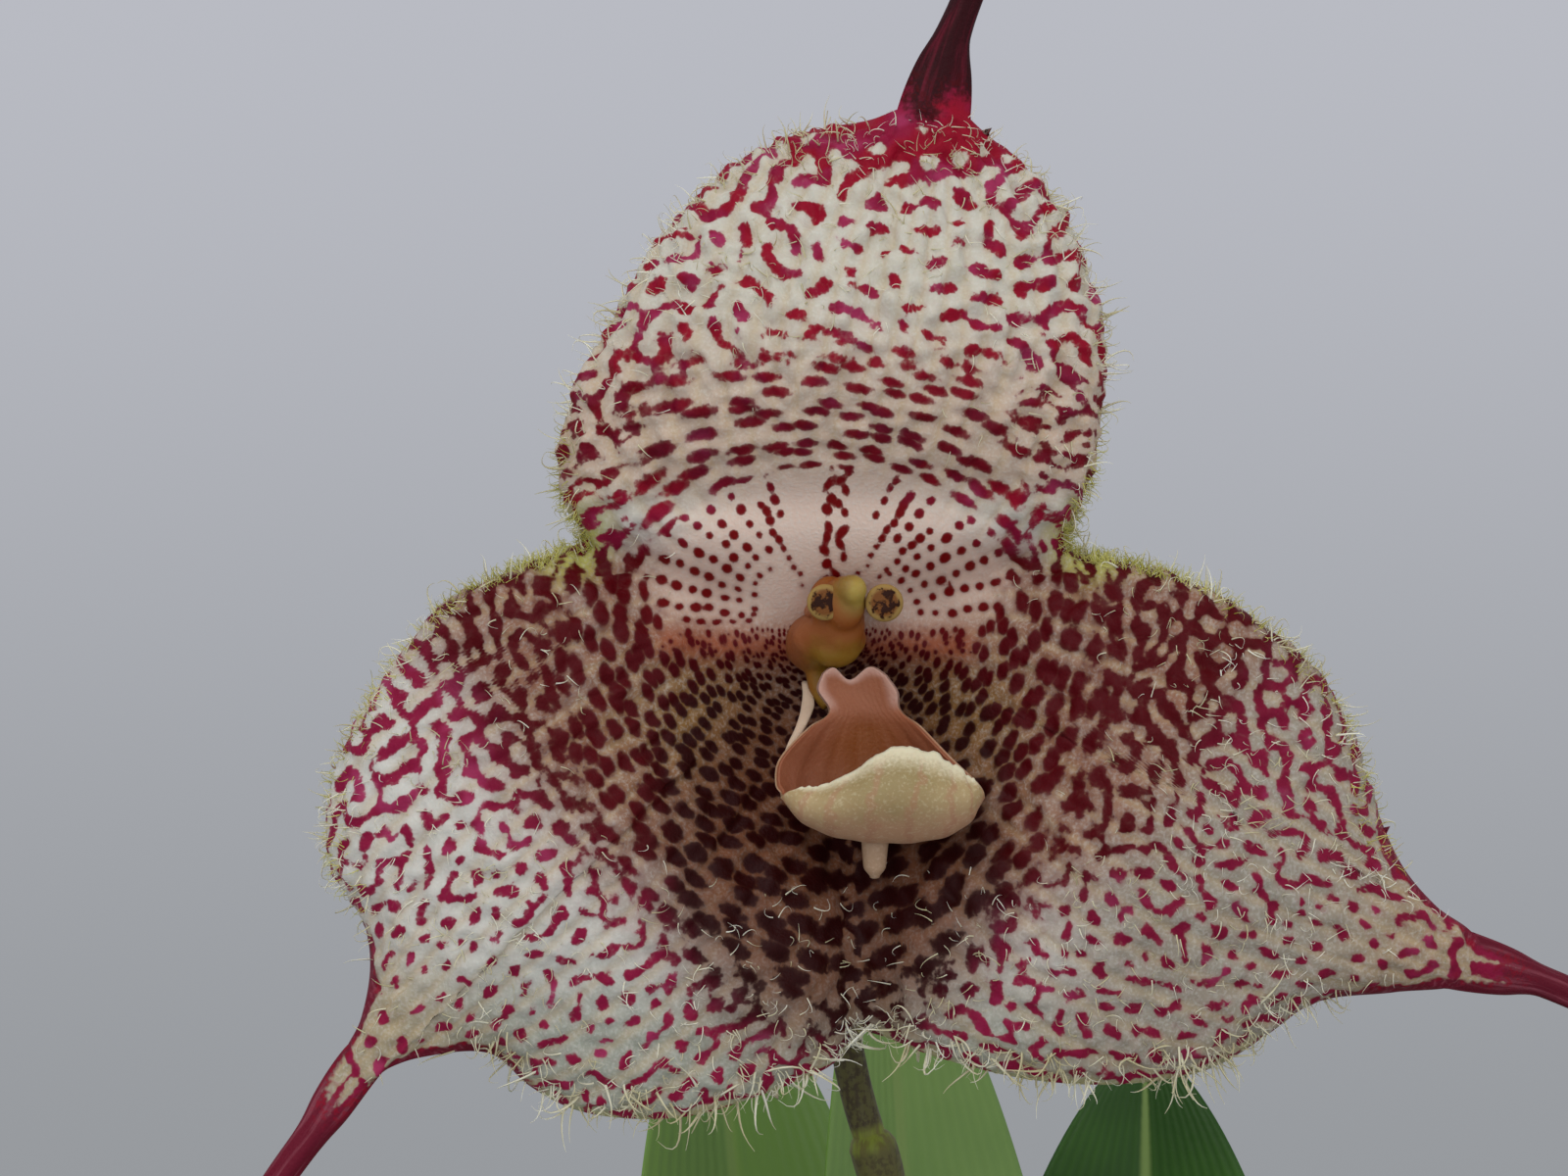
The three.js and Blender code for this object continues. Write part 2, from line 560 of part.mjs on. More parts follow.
function pot() {
  const collar = POT.height - POT.rimHeight;
  const profile = [
    V2(0, 0),
    V2(POT.baseRadius - 1, 0),
    V2(POT.baseRadius, 1),
    V2(outerRadius(collar), collar),
    V2(outerRadius(collar) + POT.rimStep, collar + 0.8),
    V2(POT.rimRadius, POT.height - 1.5),
    V2(POT.rimRadius - 1.2, POT.height),
    V2(innerRadius(collar) + 1.4, POT.height),
    V2(innerRadius(collar), POT.height - 2),
    V2(innerRadius(collar), collar),
    V2(innerRadius(POT.floor), POT.floor),
    V2(0, POT.floor),
  ];
  const lathe = new THREE.LatheGeometry(profile, POT.sides);
  lathe.rotateX(Math.PI / 2);
  let solid = solidOf(lathe);
  for (let i = 0; i < POT.drains; i++) {
    const turn = (2 * Math.PI * (i + 0.5)) / POT.drains;
    const drain = new THREE.CylinderGeometry(POT.drainRadius, POT.drainRadius, 3 * POT.floor, 16);
    drain.rotateX(Math.PI / 2);
    drain.translate(POT.drainCircle * Math.cos(turn), POT.drainCircle * Math.sin(turn), POT.floor / 2);
    solid = solid.subtract(solidOf(drain));
  }
  return named("pot", geometryOf(solid), 0xb4693f, 0.85);
}

const flower = new THREE.Group();
flower.position.copy(FLOWER_AT);
flower.rotation.x = Math.PI / 2;
flower.add(sepals(), column(), lip());
for (const [name, entry] of Object.entries(PETALS)) flower.add(petal(name, entry));

const group = new THREE.Group();
group.add(pot(), medium(), flowerStalk(), flower);
LEAVES.forEach((entry, index) => group.add(leaf(entry, index)));
export default group;
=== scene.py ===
"""A potted dracula orchid in flower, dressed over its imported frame.

Every piece is made in millimetres, from the same named values as the solids, and is turned into metres
when its mesh is made. The flower has a frame of its own: x to the viewer's right, y up and z towards the
viewer, with its origin in front of the column's foot.
"""
import logging
import math
from dataclasses import dataclass, field
from enum import Enum
from typing import Callable, Dict, List, Optional, Sequence, Tuple, Union

import bpy
import numpy as np
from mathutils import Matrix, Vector


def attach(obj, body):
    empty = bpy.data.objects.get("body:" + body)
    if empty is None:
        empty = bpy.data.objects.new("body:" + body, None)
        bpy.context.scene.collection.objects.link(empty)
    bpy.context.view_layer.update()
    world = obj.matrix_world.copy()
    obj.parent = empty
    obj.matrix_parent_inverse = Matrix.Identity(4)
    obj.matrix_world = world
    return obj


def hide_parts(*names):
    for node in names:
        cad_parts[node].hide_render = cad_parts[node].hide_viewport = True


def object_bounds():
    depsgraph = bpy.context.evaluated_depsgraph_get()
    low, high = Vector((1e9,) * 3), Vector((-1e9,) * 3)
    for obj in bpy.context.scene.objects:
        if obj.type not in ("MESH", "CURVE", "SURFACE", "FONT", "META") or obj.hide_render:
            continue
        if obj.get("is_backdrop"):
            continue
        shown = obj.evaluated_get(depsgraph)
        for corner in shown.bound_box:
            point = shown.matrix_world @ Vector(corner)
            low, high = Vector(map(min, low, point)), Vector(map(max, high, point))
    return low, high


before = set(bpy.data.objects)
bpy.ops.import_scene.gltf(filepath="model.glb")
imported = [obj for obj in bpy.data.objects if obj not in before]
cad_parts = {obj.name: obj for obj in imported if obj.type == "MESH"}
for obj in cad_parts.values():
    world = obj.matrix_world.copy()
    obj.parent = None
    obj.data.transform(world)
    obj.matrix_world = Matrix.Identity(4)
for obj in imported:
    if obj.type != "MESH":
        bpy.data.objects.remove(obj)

logging.basicConfig(level=logging.INFO, format="%(message)s")
log = logging.getLogger("orchid")

Array = np.ndarray
Number = Union[float, Array]
Colour = Tuple[float, float, float, float]
Triple = Tuple[float, float, float]

MM = 0.001
BODY = "root"
FLOWER_AT = (-12.0, -45.0, 262.0)
LIGHT_GAIN = 1.25  # what the soft light takes from a colour, given back in the finishes


# Numbers and curves.


def smooth(value: Number, low: float, high: float) -> Number:
    """Rises smoothly from 0 where the value is low to 1 where it is high."""
    share = np.clip((value - low) / (high - low), 0, 1)
    return share * share * (3 - 2 * share)


def mix(low: Number, high: Number, share: Number) -> Number:
    """Goes from low to high as share goes from 0 to 1."""
    return low + (high - low) * share


def unit(vectors: Array) -> Array:
    """Scales vectors, along their last axis, to length 1."""
    return vectors / np.maximum(np.linalg.norm(vectors, axis=-1, keepdims=True), 1e-12)


def seen(red: int, green: int, blue: int, gain: float = LIGHT_GAIN) -> Colour:
    """Turns a screen's colour, 0 to 255, into the linear one that a finish takes, with alpha 1."""
    parts = [((c / 255 + 0.055) / 1.055) ** 2.4 if c > 10 else c / 255 / 12.92 for c in (red, green, blue)]
    return tuple(min(0.95, gain * c) for c in parts) + (1.0,)


class Curve:
    """A centripetal Catmull-Rom curve through some points, read by its length."""

    def __init__(self, points: Sequence[Sequence[float]], closed: bool = False, samples: int = 1600) -> None:
        """Lays the curve.

        Args:
            points: The points that it passes.
            closed: Whether it returns to its start.
            samples: How finely its length is measured.
        """
        self.knots = np.asarray(points, float)
        self.closed = closed
        self.table = self.raw(np.linspace(0, 1, samples + 1))
        steps = np.linalg.norm(np.diff(self.table, axis=0), axis=1)
        self.lengths = np.concatenate([[0.0], np.cumsum(steps)])
        self.length = float(self.lengths[-1])

    def raw(self, share: Array) -> Array:
        """Reads the curve by its own parameter.

        Args:
            share: Where, from 0 to 1, each knot's span taking an equal part.

        Returns:
            The points.
        """
        knots, count = self.knots, len(self.knots)
        place = np.asarray(share, float) * (count if self.closed else count - 1)
        index = np.clip(np.floor(place).astype(int), 0, (count if self.closed else count - 1) - 1)
        weight = (place - index)[:, None]
        if self.closed:
            four = [knots[(index + shift) % count] for shift in (-1, 0, 1, 2)]
        else:
            ends = np.vstack([2 * knots[0] - knots[1], knots, 2 * knots[-1] - knots[-2]])
            four = [ends[index + shift] for shift in (0, 1, 2, 3)]
        gaps = [np.sqrt(np.linalg.norm(b - a, axis=1))[:, None] for a, b in zip(four, four[1:])]
        middle = np.maximum(gaps[1], 1e-4)
        before = np.where(gaps[0] < 1e-4, middle, gaps[0])
        after = np.where(gaps[2] < 1e-4, middle, gaps[2])
        first = (four[1] - four[0]) / before - (four[2] - four[0]) / (before + middle) + (four[2] - four[1]) / middle
        last = (four[2] - four[1]) / middle - (four[3] - four[1]) / (middle + after) + (four[3] - four[2]) / after
        first, last = first * middle, last * middle
        span = four[2] - four[1]
        cubic = first + last - 2 * span
        return four[1] + weight * (first + weight * (3 * span - 2 * first - last + weight * cubic))

    def at(self, share: Number) -> Array:
        """Reads the curve by its length, from 0 at its start to 1 at its end."""
        wanted = np.atleast_1d(np.asarray(share, float)) * self.length
        return np.stack([np.interp(wanted, self.lengths, self.table[:, k]) for k in range(self.table.shape[1])], -1)

    def along(self, share: Number, reach: float = 0.004) -> Array:
        """Gives the curve's direction at each share, measured as far to either side as reach says."""
        share = np.atleast_1d(np.asarray(share, float))
        return unit(self.at(np.clip(share + reach, 0, 1)) - self.at(np.clip(share - reach, 0, 1)))


# Skins.


class Place(Enum):
    """The frame in which a skin's points are given."""

    FLOWER = "flower"
    PLANT = "plant"


def to_world(points: Array, place: Place) -> Array:
    """Takes points from their own frame to the plant's.

    Args:
        points: Points in millimetres.
        place: The frame that they are given in.

    Returns:
        The points, in millimetres.
    """
    if place is Place.PLANT:
        return points
    x, y, z = points[..., 0], points[..., 1], points[..., 2]
    return np.stack([FLOWER_AT[0] + x, FLOWER_AT[1] - z, FLOWER_AT[2] + y], -1)


class Skin:
    """Gathers points, faces and what is known at each point, and makes one mesh of them."""

    def __init__(self, name: str, place: Place = Place.PLANT) -> None:
        """Starts an empty skin.

        Args:
            name: The piece's name.
            place: The frame of its points.
        """
        self.name = name
        self.place = place
        self.points: List[Array] = []
        self.quads: List[Array] = []
        self.triangles: List[Array] = []
        self.values: List[Dict[str, Array]] = []
        self.count = 0

    def add(self, points: Array, **values: Array) -> int:
        """Adds points.

        Args:
            points: The points, in millimetres.
            **values: One number or vector for each point, by the attribute's name.

        Returns:
            The index of the first of them.
        """
        start = self.count
        self.points.append(np.asarray(points, float).reshape(-1, 3))
        self.values.append({k: np.asarray(v, float) for k, v in values.items()})
        self.count += len(self.points[-1])
        return start

    def face(self, corners: Array) -> None:
        """Adds faces, all with three corners or all with four."""
        corners = np.asarray(corners, int)
        (self.triangles if corners.shape[1] == 3 else self.quads).append(corners)

    def tube(self, sections: Array, **values: Array) -> None:
        """Adds a skin, closed at both ends, through sections that run anticlockwise, seen from its far end.

        Args:
            sections: The points, by section and by their place in it.
            **values: One number for each point, in the same shape.
        """
        rows, sides = sections.shape[:2]
        flat = {k: np.asarray(v, float).ravel() for k, v in values.items()}
        start = self.add(sections.reshape(-1, 3), **flat)
        index = start + np.arange(rows * sides).reshape(rows, sides)
        turned = np.roll(index, -1, axis=1)
        self.face(np.stack([index[:-1], turned[:-1], turned[1:], index[1:]], -1).reshape(-1, 4))
        for row, pair in ((0, (turned[0], index[0])), (rows - 1, (index[-1], turned[-1]))):
            middle = {k: v[row * sides:(row + 1) * sides].mean(0, keepdims=True) for k, v in flat.items()}
            centre = np.full(sides, self.add(sections[row].mean(0)[None], **middle))
            self.face(np.stack([*pair, centre], -1))

    def mesh(self, scale: float = MM) -> bpy.types.Mesh:
        """Makes the mesh, with each face's first corner on its shorter diagonal, where it is split.

        Args:
            scale: What a millimetre becomes.

        Returns:
            The mesh, smooth, with an attribute for each value.
        """
        mesh = bpy.data.meshes.new(self.name)
        points = to_world(np.concatenate(self.points), self.place) * scale
        quads = np.concatenate(self.quads) if self.quads else np.zeros((0, 4), int)
        triangles = np.concatenate(self.triangles) if self.triangles else np.zeros((0, 3), int)
        mesh.vertices.add(len(points))
        mesh.vertices.foreach_set("co", points.astype(np.float32).ravel())
        halves = [np.linalg.norm(points[quads[:, k]] - points[quads[:, k + 2]], axis=1) for k in (0, 1)]
        quads = np.where((halves[1] < halves[0])[:, None], np.roll(quads, -1, axis=1), quads)
        corners = np.concatenate([quads.ravel(), triangles.ravel()])
        if len(corners):
            starts = np.concatenate([np.arange(len(quads)) * 4, quads.size + np.arange(len(triangles)) * 3])
            mesh.loops.add(len(corners))
            mesh.loops.foreach_set("vertex_index", corners.astype(np.int32))
            mesh.polygons.add(len(starts))
            mesh.polygons.foreach_set("loop_start", starts.astype(np.int32))
            mesh.polygons.foreach_set("use_smooth", np.ones(len(starts), bool))
        for key in self.values[0]:
            numbers = np.concatenate([part[key] for part in self.values])
            kind = "FLOAT" if numbers.ndim == 1 else "FLOAT_VECTOR"
            layer = mesh.attributes.new(key, kind, "POINT")
            layer.data.foreach_set("value" if kind == "FLOAT" else "vector", numbers.astype(np.float32).ravel())
        mesh.update(calc_edges=True)
        mesh.validate()
        return mesh


def place_object(name: str, mesh: bpy.types.Mesh, material: Optional[bpy.types.Material] = None) -> bpy.types.Object:
    """Puts a mesh in the scene, at the origin.

    Args:
        name: The object's name.
        mesh: Its mesh.
        material: Its finish, if it has one yet.

    Returns:
        The object.
    """
    piece = bpy.data.objects.new(name, mesh)
    bpy.context.scene.collection.objects.link(piece)
    if material is not None:
        mesh.materials.clear()
        mesh.materials.append(material)
    return piece


def hand_in(name: str, mesh: bpy.types.Mesh, finish: "Finish", slot: str, *nodes: str) -> bpy.types.Object:
    """Makes a finished piece, ties it to the frame and reports it.

    Args:
        name: The piece's name.
        mesh: Its mesh.
        finish: What it is made of.
        slot: The record's slot for its finish, which is not used.
        *nodes: The solids that it stands for.

    Returns:
        The piece.
    """
    piece = place_object(name, mesh, finish.material())
    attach(piece, BODY)
    if nodes:
        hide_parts(*nodes)
    triangles = sum(len(face.vertices) - 2 for face in piece.data.polygons)
    log.info("%-18s %7d triangles%s", piece.name, triangles, f", for {', '.join(nodes)}" if nodes else "")
    return piece


def baked(piece: bpy.types.Object, scale: float = 1.0) -> bpy.types.Mesh:
    """Takes the plain mesh that a piece's modifiers give, and removes the piece.

    Args:
        piece: The piece.
        scale: What its points are multiplied by.

    Returns:
        The mesh.
    """
    mesh = bpy.data.meshes.new_from_object(piece.evaluated_get(bpy.context.evaluated_depsgraph_get()))
    mesh.name = piece.name
    bpy.data.objects.remove(piece)
    points = np.empty(3 * len(mesh.vertices), np.float32)
    mesh.vertices.foreach_get("co", points)
    mesh.vertices.foreach_set("co", points * scale)
    mesh.update()
    return mesh


def sections_along(curve: Curve, shares: Array, girth: Callable[[Array], Tuple[Number, Number, Number]],
                   sides: int, side: Sequence[float] = (1, 0, 0.01),
                   flute: Optional[Callable[[Array, Array], Array]] = None) -> Tuple[Array, Array, Array]:
    """Lays sections along a curve.

    Args:
        curve: The curve.
        shares: Where the sections stand, from 0 to 1.
        girth: Gives each section's half width, half height and how far its two sides are lifted.
        sides: The points of a section.
        side: The wanted direction of its width.
        flute: What the girth is multiplied by, from the shares and the angles round it.

    Returns:
        The sections' points, and the share and the angle of each point.
    """
    width, height, lift = (np.broadcast_to(v, shares.shape)[:, None] for v in girth(shares))
    ahead = curve.along(shares)
    up = unit(np.cross(ahead, np.asarray(side, float)))
    across = np.cross(up, ahead)
    angle = np.broadcast_to(2 * np.pi * np.arange(sides) / sides, (len(shares), sides))
    stretch = flute(shares[:, None], angle) if flute else 1.0
    wide = (width * np.cos(angle) * stretch)[..., None]
    tall = (height * np.sin(angle) * stretch + lift * np.abs(np.cos(angle)))[..., None]
    points = curve.at(shares)[:, None] + wide * across[:, None] + tall * up[:, None]
    return points, np.broadcast_to(shares[:, None], angle.shape), angle


def ball(centre: Triple, radii: Triple, rows: int = 24, sides: int = 32) -> Array:
    """Gives the sections of an egg that stands on its z axis.

    Args:
        centre: Its middle.
        radii: Its half sizes.
        rows: Its sections.
        sides: The points of each.

    Returns:
        The sections' points.
    """
    tilt = np.linspace(-np.pi / 2 + 0.04, np.pi / 2 - 0.04, rows)[:, None]
    turn = 2 * np.pi * np.arange(sides)[None] / sides
    shape = [np.cos(tilt) * np.cos(turn), np.cos(tilt) * np.sin(turn), np.sin(tilt) + 0 * turn]
    return np.stack([c + r * s for c, r, s in zip(centre, radii, shape)], -1)


def fused(skin: Skin, voxel: float, rounds: int) -> bpy.types.Mesh:
    """Melts a skin's overlapping parts into one smooth skin.

    Args:
        skin: The parts.
        voxel: How finely, in millimetres.
        rounds: How often it is smoothed.

    Returns:
        The mesh, in metres.
    """
    piece = place_object(skin.name, skin.mesh(1.0))
    remesh = piece.modifiers.new("melt", "REMESH")
    remesh.mode = "VOXEL"
    remesh.voxel_size = voxel
    remesh.use_smooth_shade = True
    soft = piece.modifiers.new("soft", "SMOOTH")
    soft.iterations = rounds
    soft.factor = 0.5
    mesh = baked(piece, MM)
    mesh.polygons.foreach_set("use_smooth", np.ones(len(mesh.polygons), bool))
    mesh.update()
    return mesh


def points_of(mesh: bpy.types.Mesh) -> Array:
    """Reads a mesh's points, in millimetres."""
    points = np.empty(3 * len(mesh.vertices), np.float32)
    mesh.vertices.foreach_get("co", points)
    return points.reshape(-1, 3).astype(float) / MM


def keep_value(mesh: bpy.types.Mesh, name: str, numbers: Array) -> None:
    """Stores one number for each of a mesh's points, as an attribute."""
    layer = mesh.attributes.new(name, "FLOAT", "POINT")
    layer.data.foreach_set("value", np.asarray(numbers, np.float32))


# Node graphs.


class Socket:
    """A node's output that can be used in sums."""

    def __init__(self, graph: "Graph", socket: bpy.types.NodeSocket) -> None:
        """Wraps an output of one of the graph's nodes."""
        self.graph = graph
        self.socket = socket

    def __add__(self, other: "Term") -> "Socket":
        """Adds."""
        return self.graph.math("ADD", self, other)

    def __sub__(self, other: "Term") -> "Socket":
        """Takes away."""
        return self.graph.math("SUBTRACT", self, other)

    def __rsub__(self, other: "Term") -> "Socket":
        """Is taken away from a number."""
        return self.graph.math("SUBTRACT", other, self)

    def __mul__(self, other: "Term") -> "Socket":
        """Multiplies."""
        return self.graph.math("MULTIPLY", self, other)

    def __truediv__(self, other: "Term") -> "Socket":
        """Divides."""
        return self.graph.math("DIVIDE", self, other)

    def __rtruediv__(self, other: "Term") -> "Socket":
        """Divides a number."""
        return self.graph.math("DIVIDE", other, self)

    def __pow__(self, other: "Term") -> "Socket":
        """Raises to a power."""
        return self.graph.math("POWER", self, other)

    __radd__ = __add__
    __rmul__ = __mul__


Term = Union[Socket, float, int]


class Graph:
    """A node tree under construction."""

    def __init__(self, tree: bpy.types.NodeTree) -> None:
        """Starts on an emptied tree."""
        self.tree = tree
        tree.nodes.clear()

    def node(self, kind: str, settings: Optional[dict] = None, inputs: Optional[dict] = None) -> bpy.types.Node:
        """Adds a node.

        Args:
            kind: Its type.
            settings: Its own settings, which are set first.
            inputs: Values or sockets, by the input's identifier or name.

        Returns:
            The node.
        """
        made = self.tree.nodes.new(kind)
        for key, value in (settings or {}).items():
            setattr(made, key, value)
        for key, value in (inputs or {}).items():
            found = [s for s in made.inputs if s.identifier == key] or [s for s in made.inputs if s.name == key]
            target = next((s for s in found if s.enabled), found[0])
            if isinstance(value, Socket):
                self.tree.links.new(value.socket, target)
            else:
                target.default_value = value
        return made

    def value(self, kind: str, settings: Optional[dict] = None, inputs: Optional[dict] = None,
              output: Optional[str] = None) -> Socket:
        """Adds a node and gives one of its outputs.

        Args:
            kind: Its type.
            settings: Its own settings.
            inputs: Values or sockets.
            output: The output's identifier or name, or the first that is in use.

        Returns:
            The output.
        """
        made = self.node(kind, settings, inputs)
        found = [s for s in made.outputs if s.enabled and output in (None, s.identifier, s.name)]
        return Socket(self, found[0])

    def math(self, operation: str, *terms: Term) -> Socket:
        """Adds a Math node on up to three terms."""
        names = ("Value", "Value_001", "Value_002")
        return self.value("ShaderNodeMath", {"operation": operation}, dict(zip(names, terms)))

    def rise(self, value: Term, low: Term, high: Term) -> Socket:
        """Rises smoothly from 0 at low to 1 at high."""
        settings = {"interpolation_type": "SMOOTHSTEP", "clamp": True}
        return self.value("ShaderNodeMapRange", settings, {"Value": value, "From Min": low, "From Max": high})

    def blend(self, share: Term, low: Union[Socket, Colour], high: Union[Socket, Colour]) -> Socket:
        """Mixes two colours, or two numbers, with a share of the second."""
        return self.value("ShaderNodeMix", {"data_type": "RGBA", "clamp_factor": True},
                          {"Factor_Float": share, "A_Color": low, "B_Color": high}, "Result_Color")

    def layers(self, ground: Union[Socket, Colour], *laid: Tuple[Term, Union[Socket, Colour]]) -> Socket:
        """Lays colours on a ground in order, each by its share."""
        for share, colour in laid:
            ground = self.blend(share, ground, colour)
        return ground

    def read(self, name: str, output: str = "Fac") -> Socket:
        """Reads an attribute of the mesh."""
        return self.value("ShaderNodeAttribute", {"attribute_name": name}, None, output)

    def here(self) -> Socket:
        """Gives the place on the object, in metres."""
        return self.value("ShaderNodeTexCoord", None, None, "Object")

    def stretched(self, vector: Socket, factors: Triple) -> Socket:
        """Scales a vector by its own three factors."""
        return self.value("ShaderNodeVectorMath", {"operation": "MULTIPLY"}, {"Vector": vector, "Vector_001": factors})

    def noise(self, vector: Socket, scale: float, detail: float = 2.0, rough: float = 0.5) -> Socket:
        """Reads noise about 0.5, with so many lumps to the vector's unit, and so many finer layers on them."""
        inputs = {"Vector": vector, "Scale": scale, "Detail": detail, "Roughness": rough}
        return self.value("ShaderNodeTexNoise", None, inputs, "Fac")


@dataclass(frozen=True)
class Finish:
    """What a piece's surface is made of, with its gloss and how the light spreads inside it."""

    name: str
    gloss: float = 0.5
    glow: float = 0.0
    glow_radius: Triple = (1.0, 0.2, 0.1)
    glow_scale: float = 0.05

    def dress(self, graph: Graph, shader: bpy.types.Node) -> None:
        """Fills the graph behind the shader. Each finish has its own."""
        raise NotImplementedError

    def plain(self) -> Dict[str, object]:
        """Gives the shader's values that are the same all over."""
        return {"Specular IOR Level": self.gloss, "Subsurface Weight": self.glow,
                "Subsurface Radius": self.glow_radius, "Subsurface Scale": self.glow_scale}

    def material(self) -> bpy.types.Material:
        """Makes the material.

        Returns:
            The material, which is made once.
        """
        found = bpy.data.materials.get(self.name)
        if found:
            return found
        made = bpy.data.materials.new(self.name)
        made.use_nodes = True
        graph = Graph(made.node_tree)
        shader = graph.node("ShaderNodeBsdfPrincipled", None, self.plain())
        graph.node("ShaderNodeOutputMaterial", None, {"Surface": Socket(graph, shader.outputs[0])})
        self.dress(graph, shader)
        return made


def feed(graph: Graph, shader: bpy.types.Node, colour: Socket, rough: Socket, height: Optional[Socket] = None,
         depth: float = 0.1) -> None:
    """Links a finish's colour, roughness and relief to its shader.

    Args:
        graph: The material's graph.
        shader: Its shader.
        colour: What its colour is.
        rough: How rough it is.
        height: Its relief, from 0 to 1, if it has any.
        depth: How deep the relief is, in millimetres.
    """
    graph.tree.links.new(colour.socket, shader.inputs["Base Color"])
    graph.tree.links.new(rough.socket, shader.inputs["Roughness"])
    if height is not None:
        bump = graph.value("ShaderNodeBump", None, {"Strength": 1.0, "Distance": depth * MM, "Height": height})
        graph.tree.links.new(bump.socket, shader.inputs["Normal"])


# The sepals' shape, by the rule that the solids follow.


@dataclass(frozen=True)
class Mound:
    """A soft swelling or hollow of the sepals' face, in millimetres."""

    x: float
    y: float
    across: float
    up: float
    height: float

    def at(self, x: Array, y: Array) -> Array:
        """Gives its height at each place."""
        return self.height * np.exp(-(((x - self.x) / self.across) ** 2) - ((y - self.y) / self.up) ** 2)


@dataclass(frozen=True)
class Fold:
    """A crease or ridge of the face, from one place to another, in millimetres."""

    start: Tuple[float, float]
    end: Tuple[float, float]
    width: float
    height: float

    def away(self, x: Array, y: Array) -> Array:
        """Gives how far each place lies from its line."""
        dx, dy = self.end[0] - self.start[0], self.end[1] - self.start[1]
        share = np.clip(((x - self.start[0]) * dx + (y - self.start[1]) * dy) / (dx * dx + dy * dy), 0, 1)
        return np.hypot(x - self.start[0] - share * dx, y - self.start[1] - share * dy)

    def at(self, x: Array, y: Array) -> Array:
        """Gives its height at each place."""
        return self.height * np.exp(-((self.away(x, y) / self.width) ** 2))


@dataclass(frozen=True)
class Lobe:
    """One sepal: the angles round the column that it takes, and its tail, which starts inside it.

    The tail has a tone, from dark to light, and a length in which it fades in from the face. The margin's
    hairs thin out between two distances from its root.
    """

    start: float
    end: float
    root: Tuple[float, float]
    tone: float
    fade: float
    bare: Tuple[float, float]
    tail: Tuple[Triple, ...]

    def holds(self, turn: Array) -> Array:
        """Tells which angles, in degrees, are its own."""
        return (turn - self.start) % 360 < self.end - self.start

    def from_root(self, u: Array, v: Array, reach: float) -> Tuple[Array, Array]:
        """Measures places from its tail's root, which is moved out as many times as reach says."""
        return u - reach * self.root[0], v - reach * self.root[1]

    def aim(self) -> Array:
        """Gives the direction in which its tail sets out, on the face."""
        return unit(np.array(self.tail[2][:2]) - np.array(self.tail[0][:2]))


DORSAL_MARGIN = (
    (13.9, 4.6), (15.1, 8.9), (15.7, 12.8), (15.8, 16.1), (15.0, 19.7), (13.6, 23.1), (11.4, 26.1),
    (8.9, 28.0), (7.2, 29.2), (4.4, 29.3), (2.5, 28.7), (-0.6, 28.3), (-4.2, 26.9), (-7.5, 24.3),
    (-10.1, 21.2), (-12.3, 17.2), (-14.1, 14.2), (-15.1, 10.8), (-15.2, 7.8), (-14.1, 4.9),
)
LEFT_MARGIN = (
    (-15.6, 4.1), (-18.9, 2.8), (-21.9, 1.1), (-24.2, -1.4), (-26.4, -4.7), (-27.9, -7.8),
    (-28.6, -11.7), (-28.1, -14.2), (-26.6, -16.4), (-26.0, -19.4), (-26.4, -22.2), (-27.4, -24.6),
    (-26.4, -26.0), (-24.7, -24.9), (-22.8, -24.3), (-19.2, -24.2), (-16.9, -26.1), (-13.9, -27.5),
    (-8.3, -27.8), (-3.3, -26.4), (0.6, -24.7), (1.8, -23.3),
)
RIGHT_MARGIN = (
    (3.1, -23.4), (6.1, -24.4), (11.1, -25.6), (16.7, -25.9), (21.7, -25.1), (25.0, -23.3),
    (27.8, -21.5), (32.2, -20.8), (36.2, -20.0), (36.6, -17.6), (34.4, -15.8), (32.6, -13.6),
    (31.3, -10.3), (30.0, -6.4), (28.3, -3.1), (25.0, 0.0), (20.6, 2.6), (16.1, 3.8),
)
LOBES = (
    Lobe(17, 161, (5.4, 28.9), 0.0, 2.6, (1.5, 4.5), (
        (5.0, 26.6, 0), (5.9, 30.2, -0.3), (7.1, 33.6, -0.7), (8.6, 37.5, -1.0),
        (11.6, 47, -1), (13.4, 58, -4), (12.6, 70, -8), (9.0, 81, -11))),
    Lobe(161, 274.5, (-27.2, -25.8), 1.0, 4.2, (5.0, 12.0), (
        (-24.0, -22.6, 0), (-26.9, -25.4, -0.3), (-29.1, -28.4, -0.7), (-31.6, -31.8, -1.0),
        (-37, -40, -2), (-42, -51, -4), (-45, -63, -4), (-45.5, -75, -1))),
    Lobe(274.5, 377, (36.8, -19.2), 0.7, 4.2, (5.0, 12.0), (
        (32.6, -17.2, 0), (36.6, -18.8, -0.3), (39.4, -19.8, -0.7), (42.4, -21.0, -1.0),
        (50, -24.6, -1), (60, -31, -3), (69.5, -39.5, -5), (76.5, -50, -5))),
)


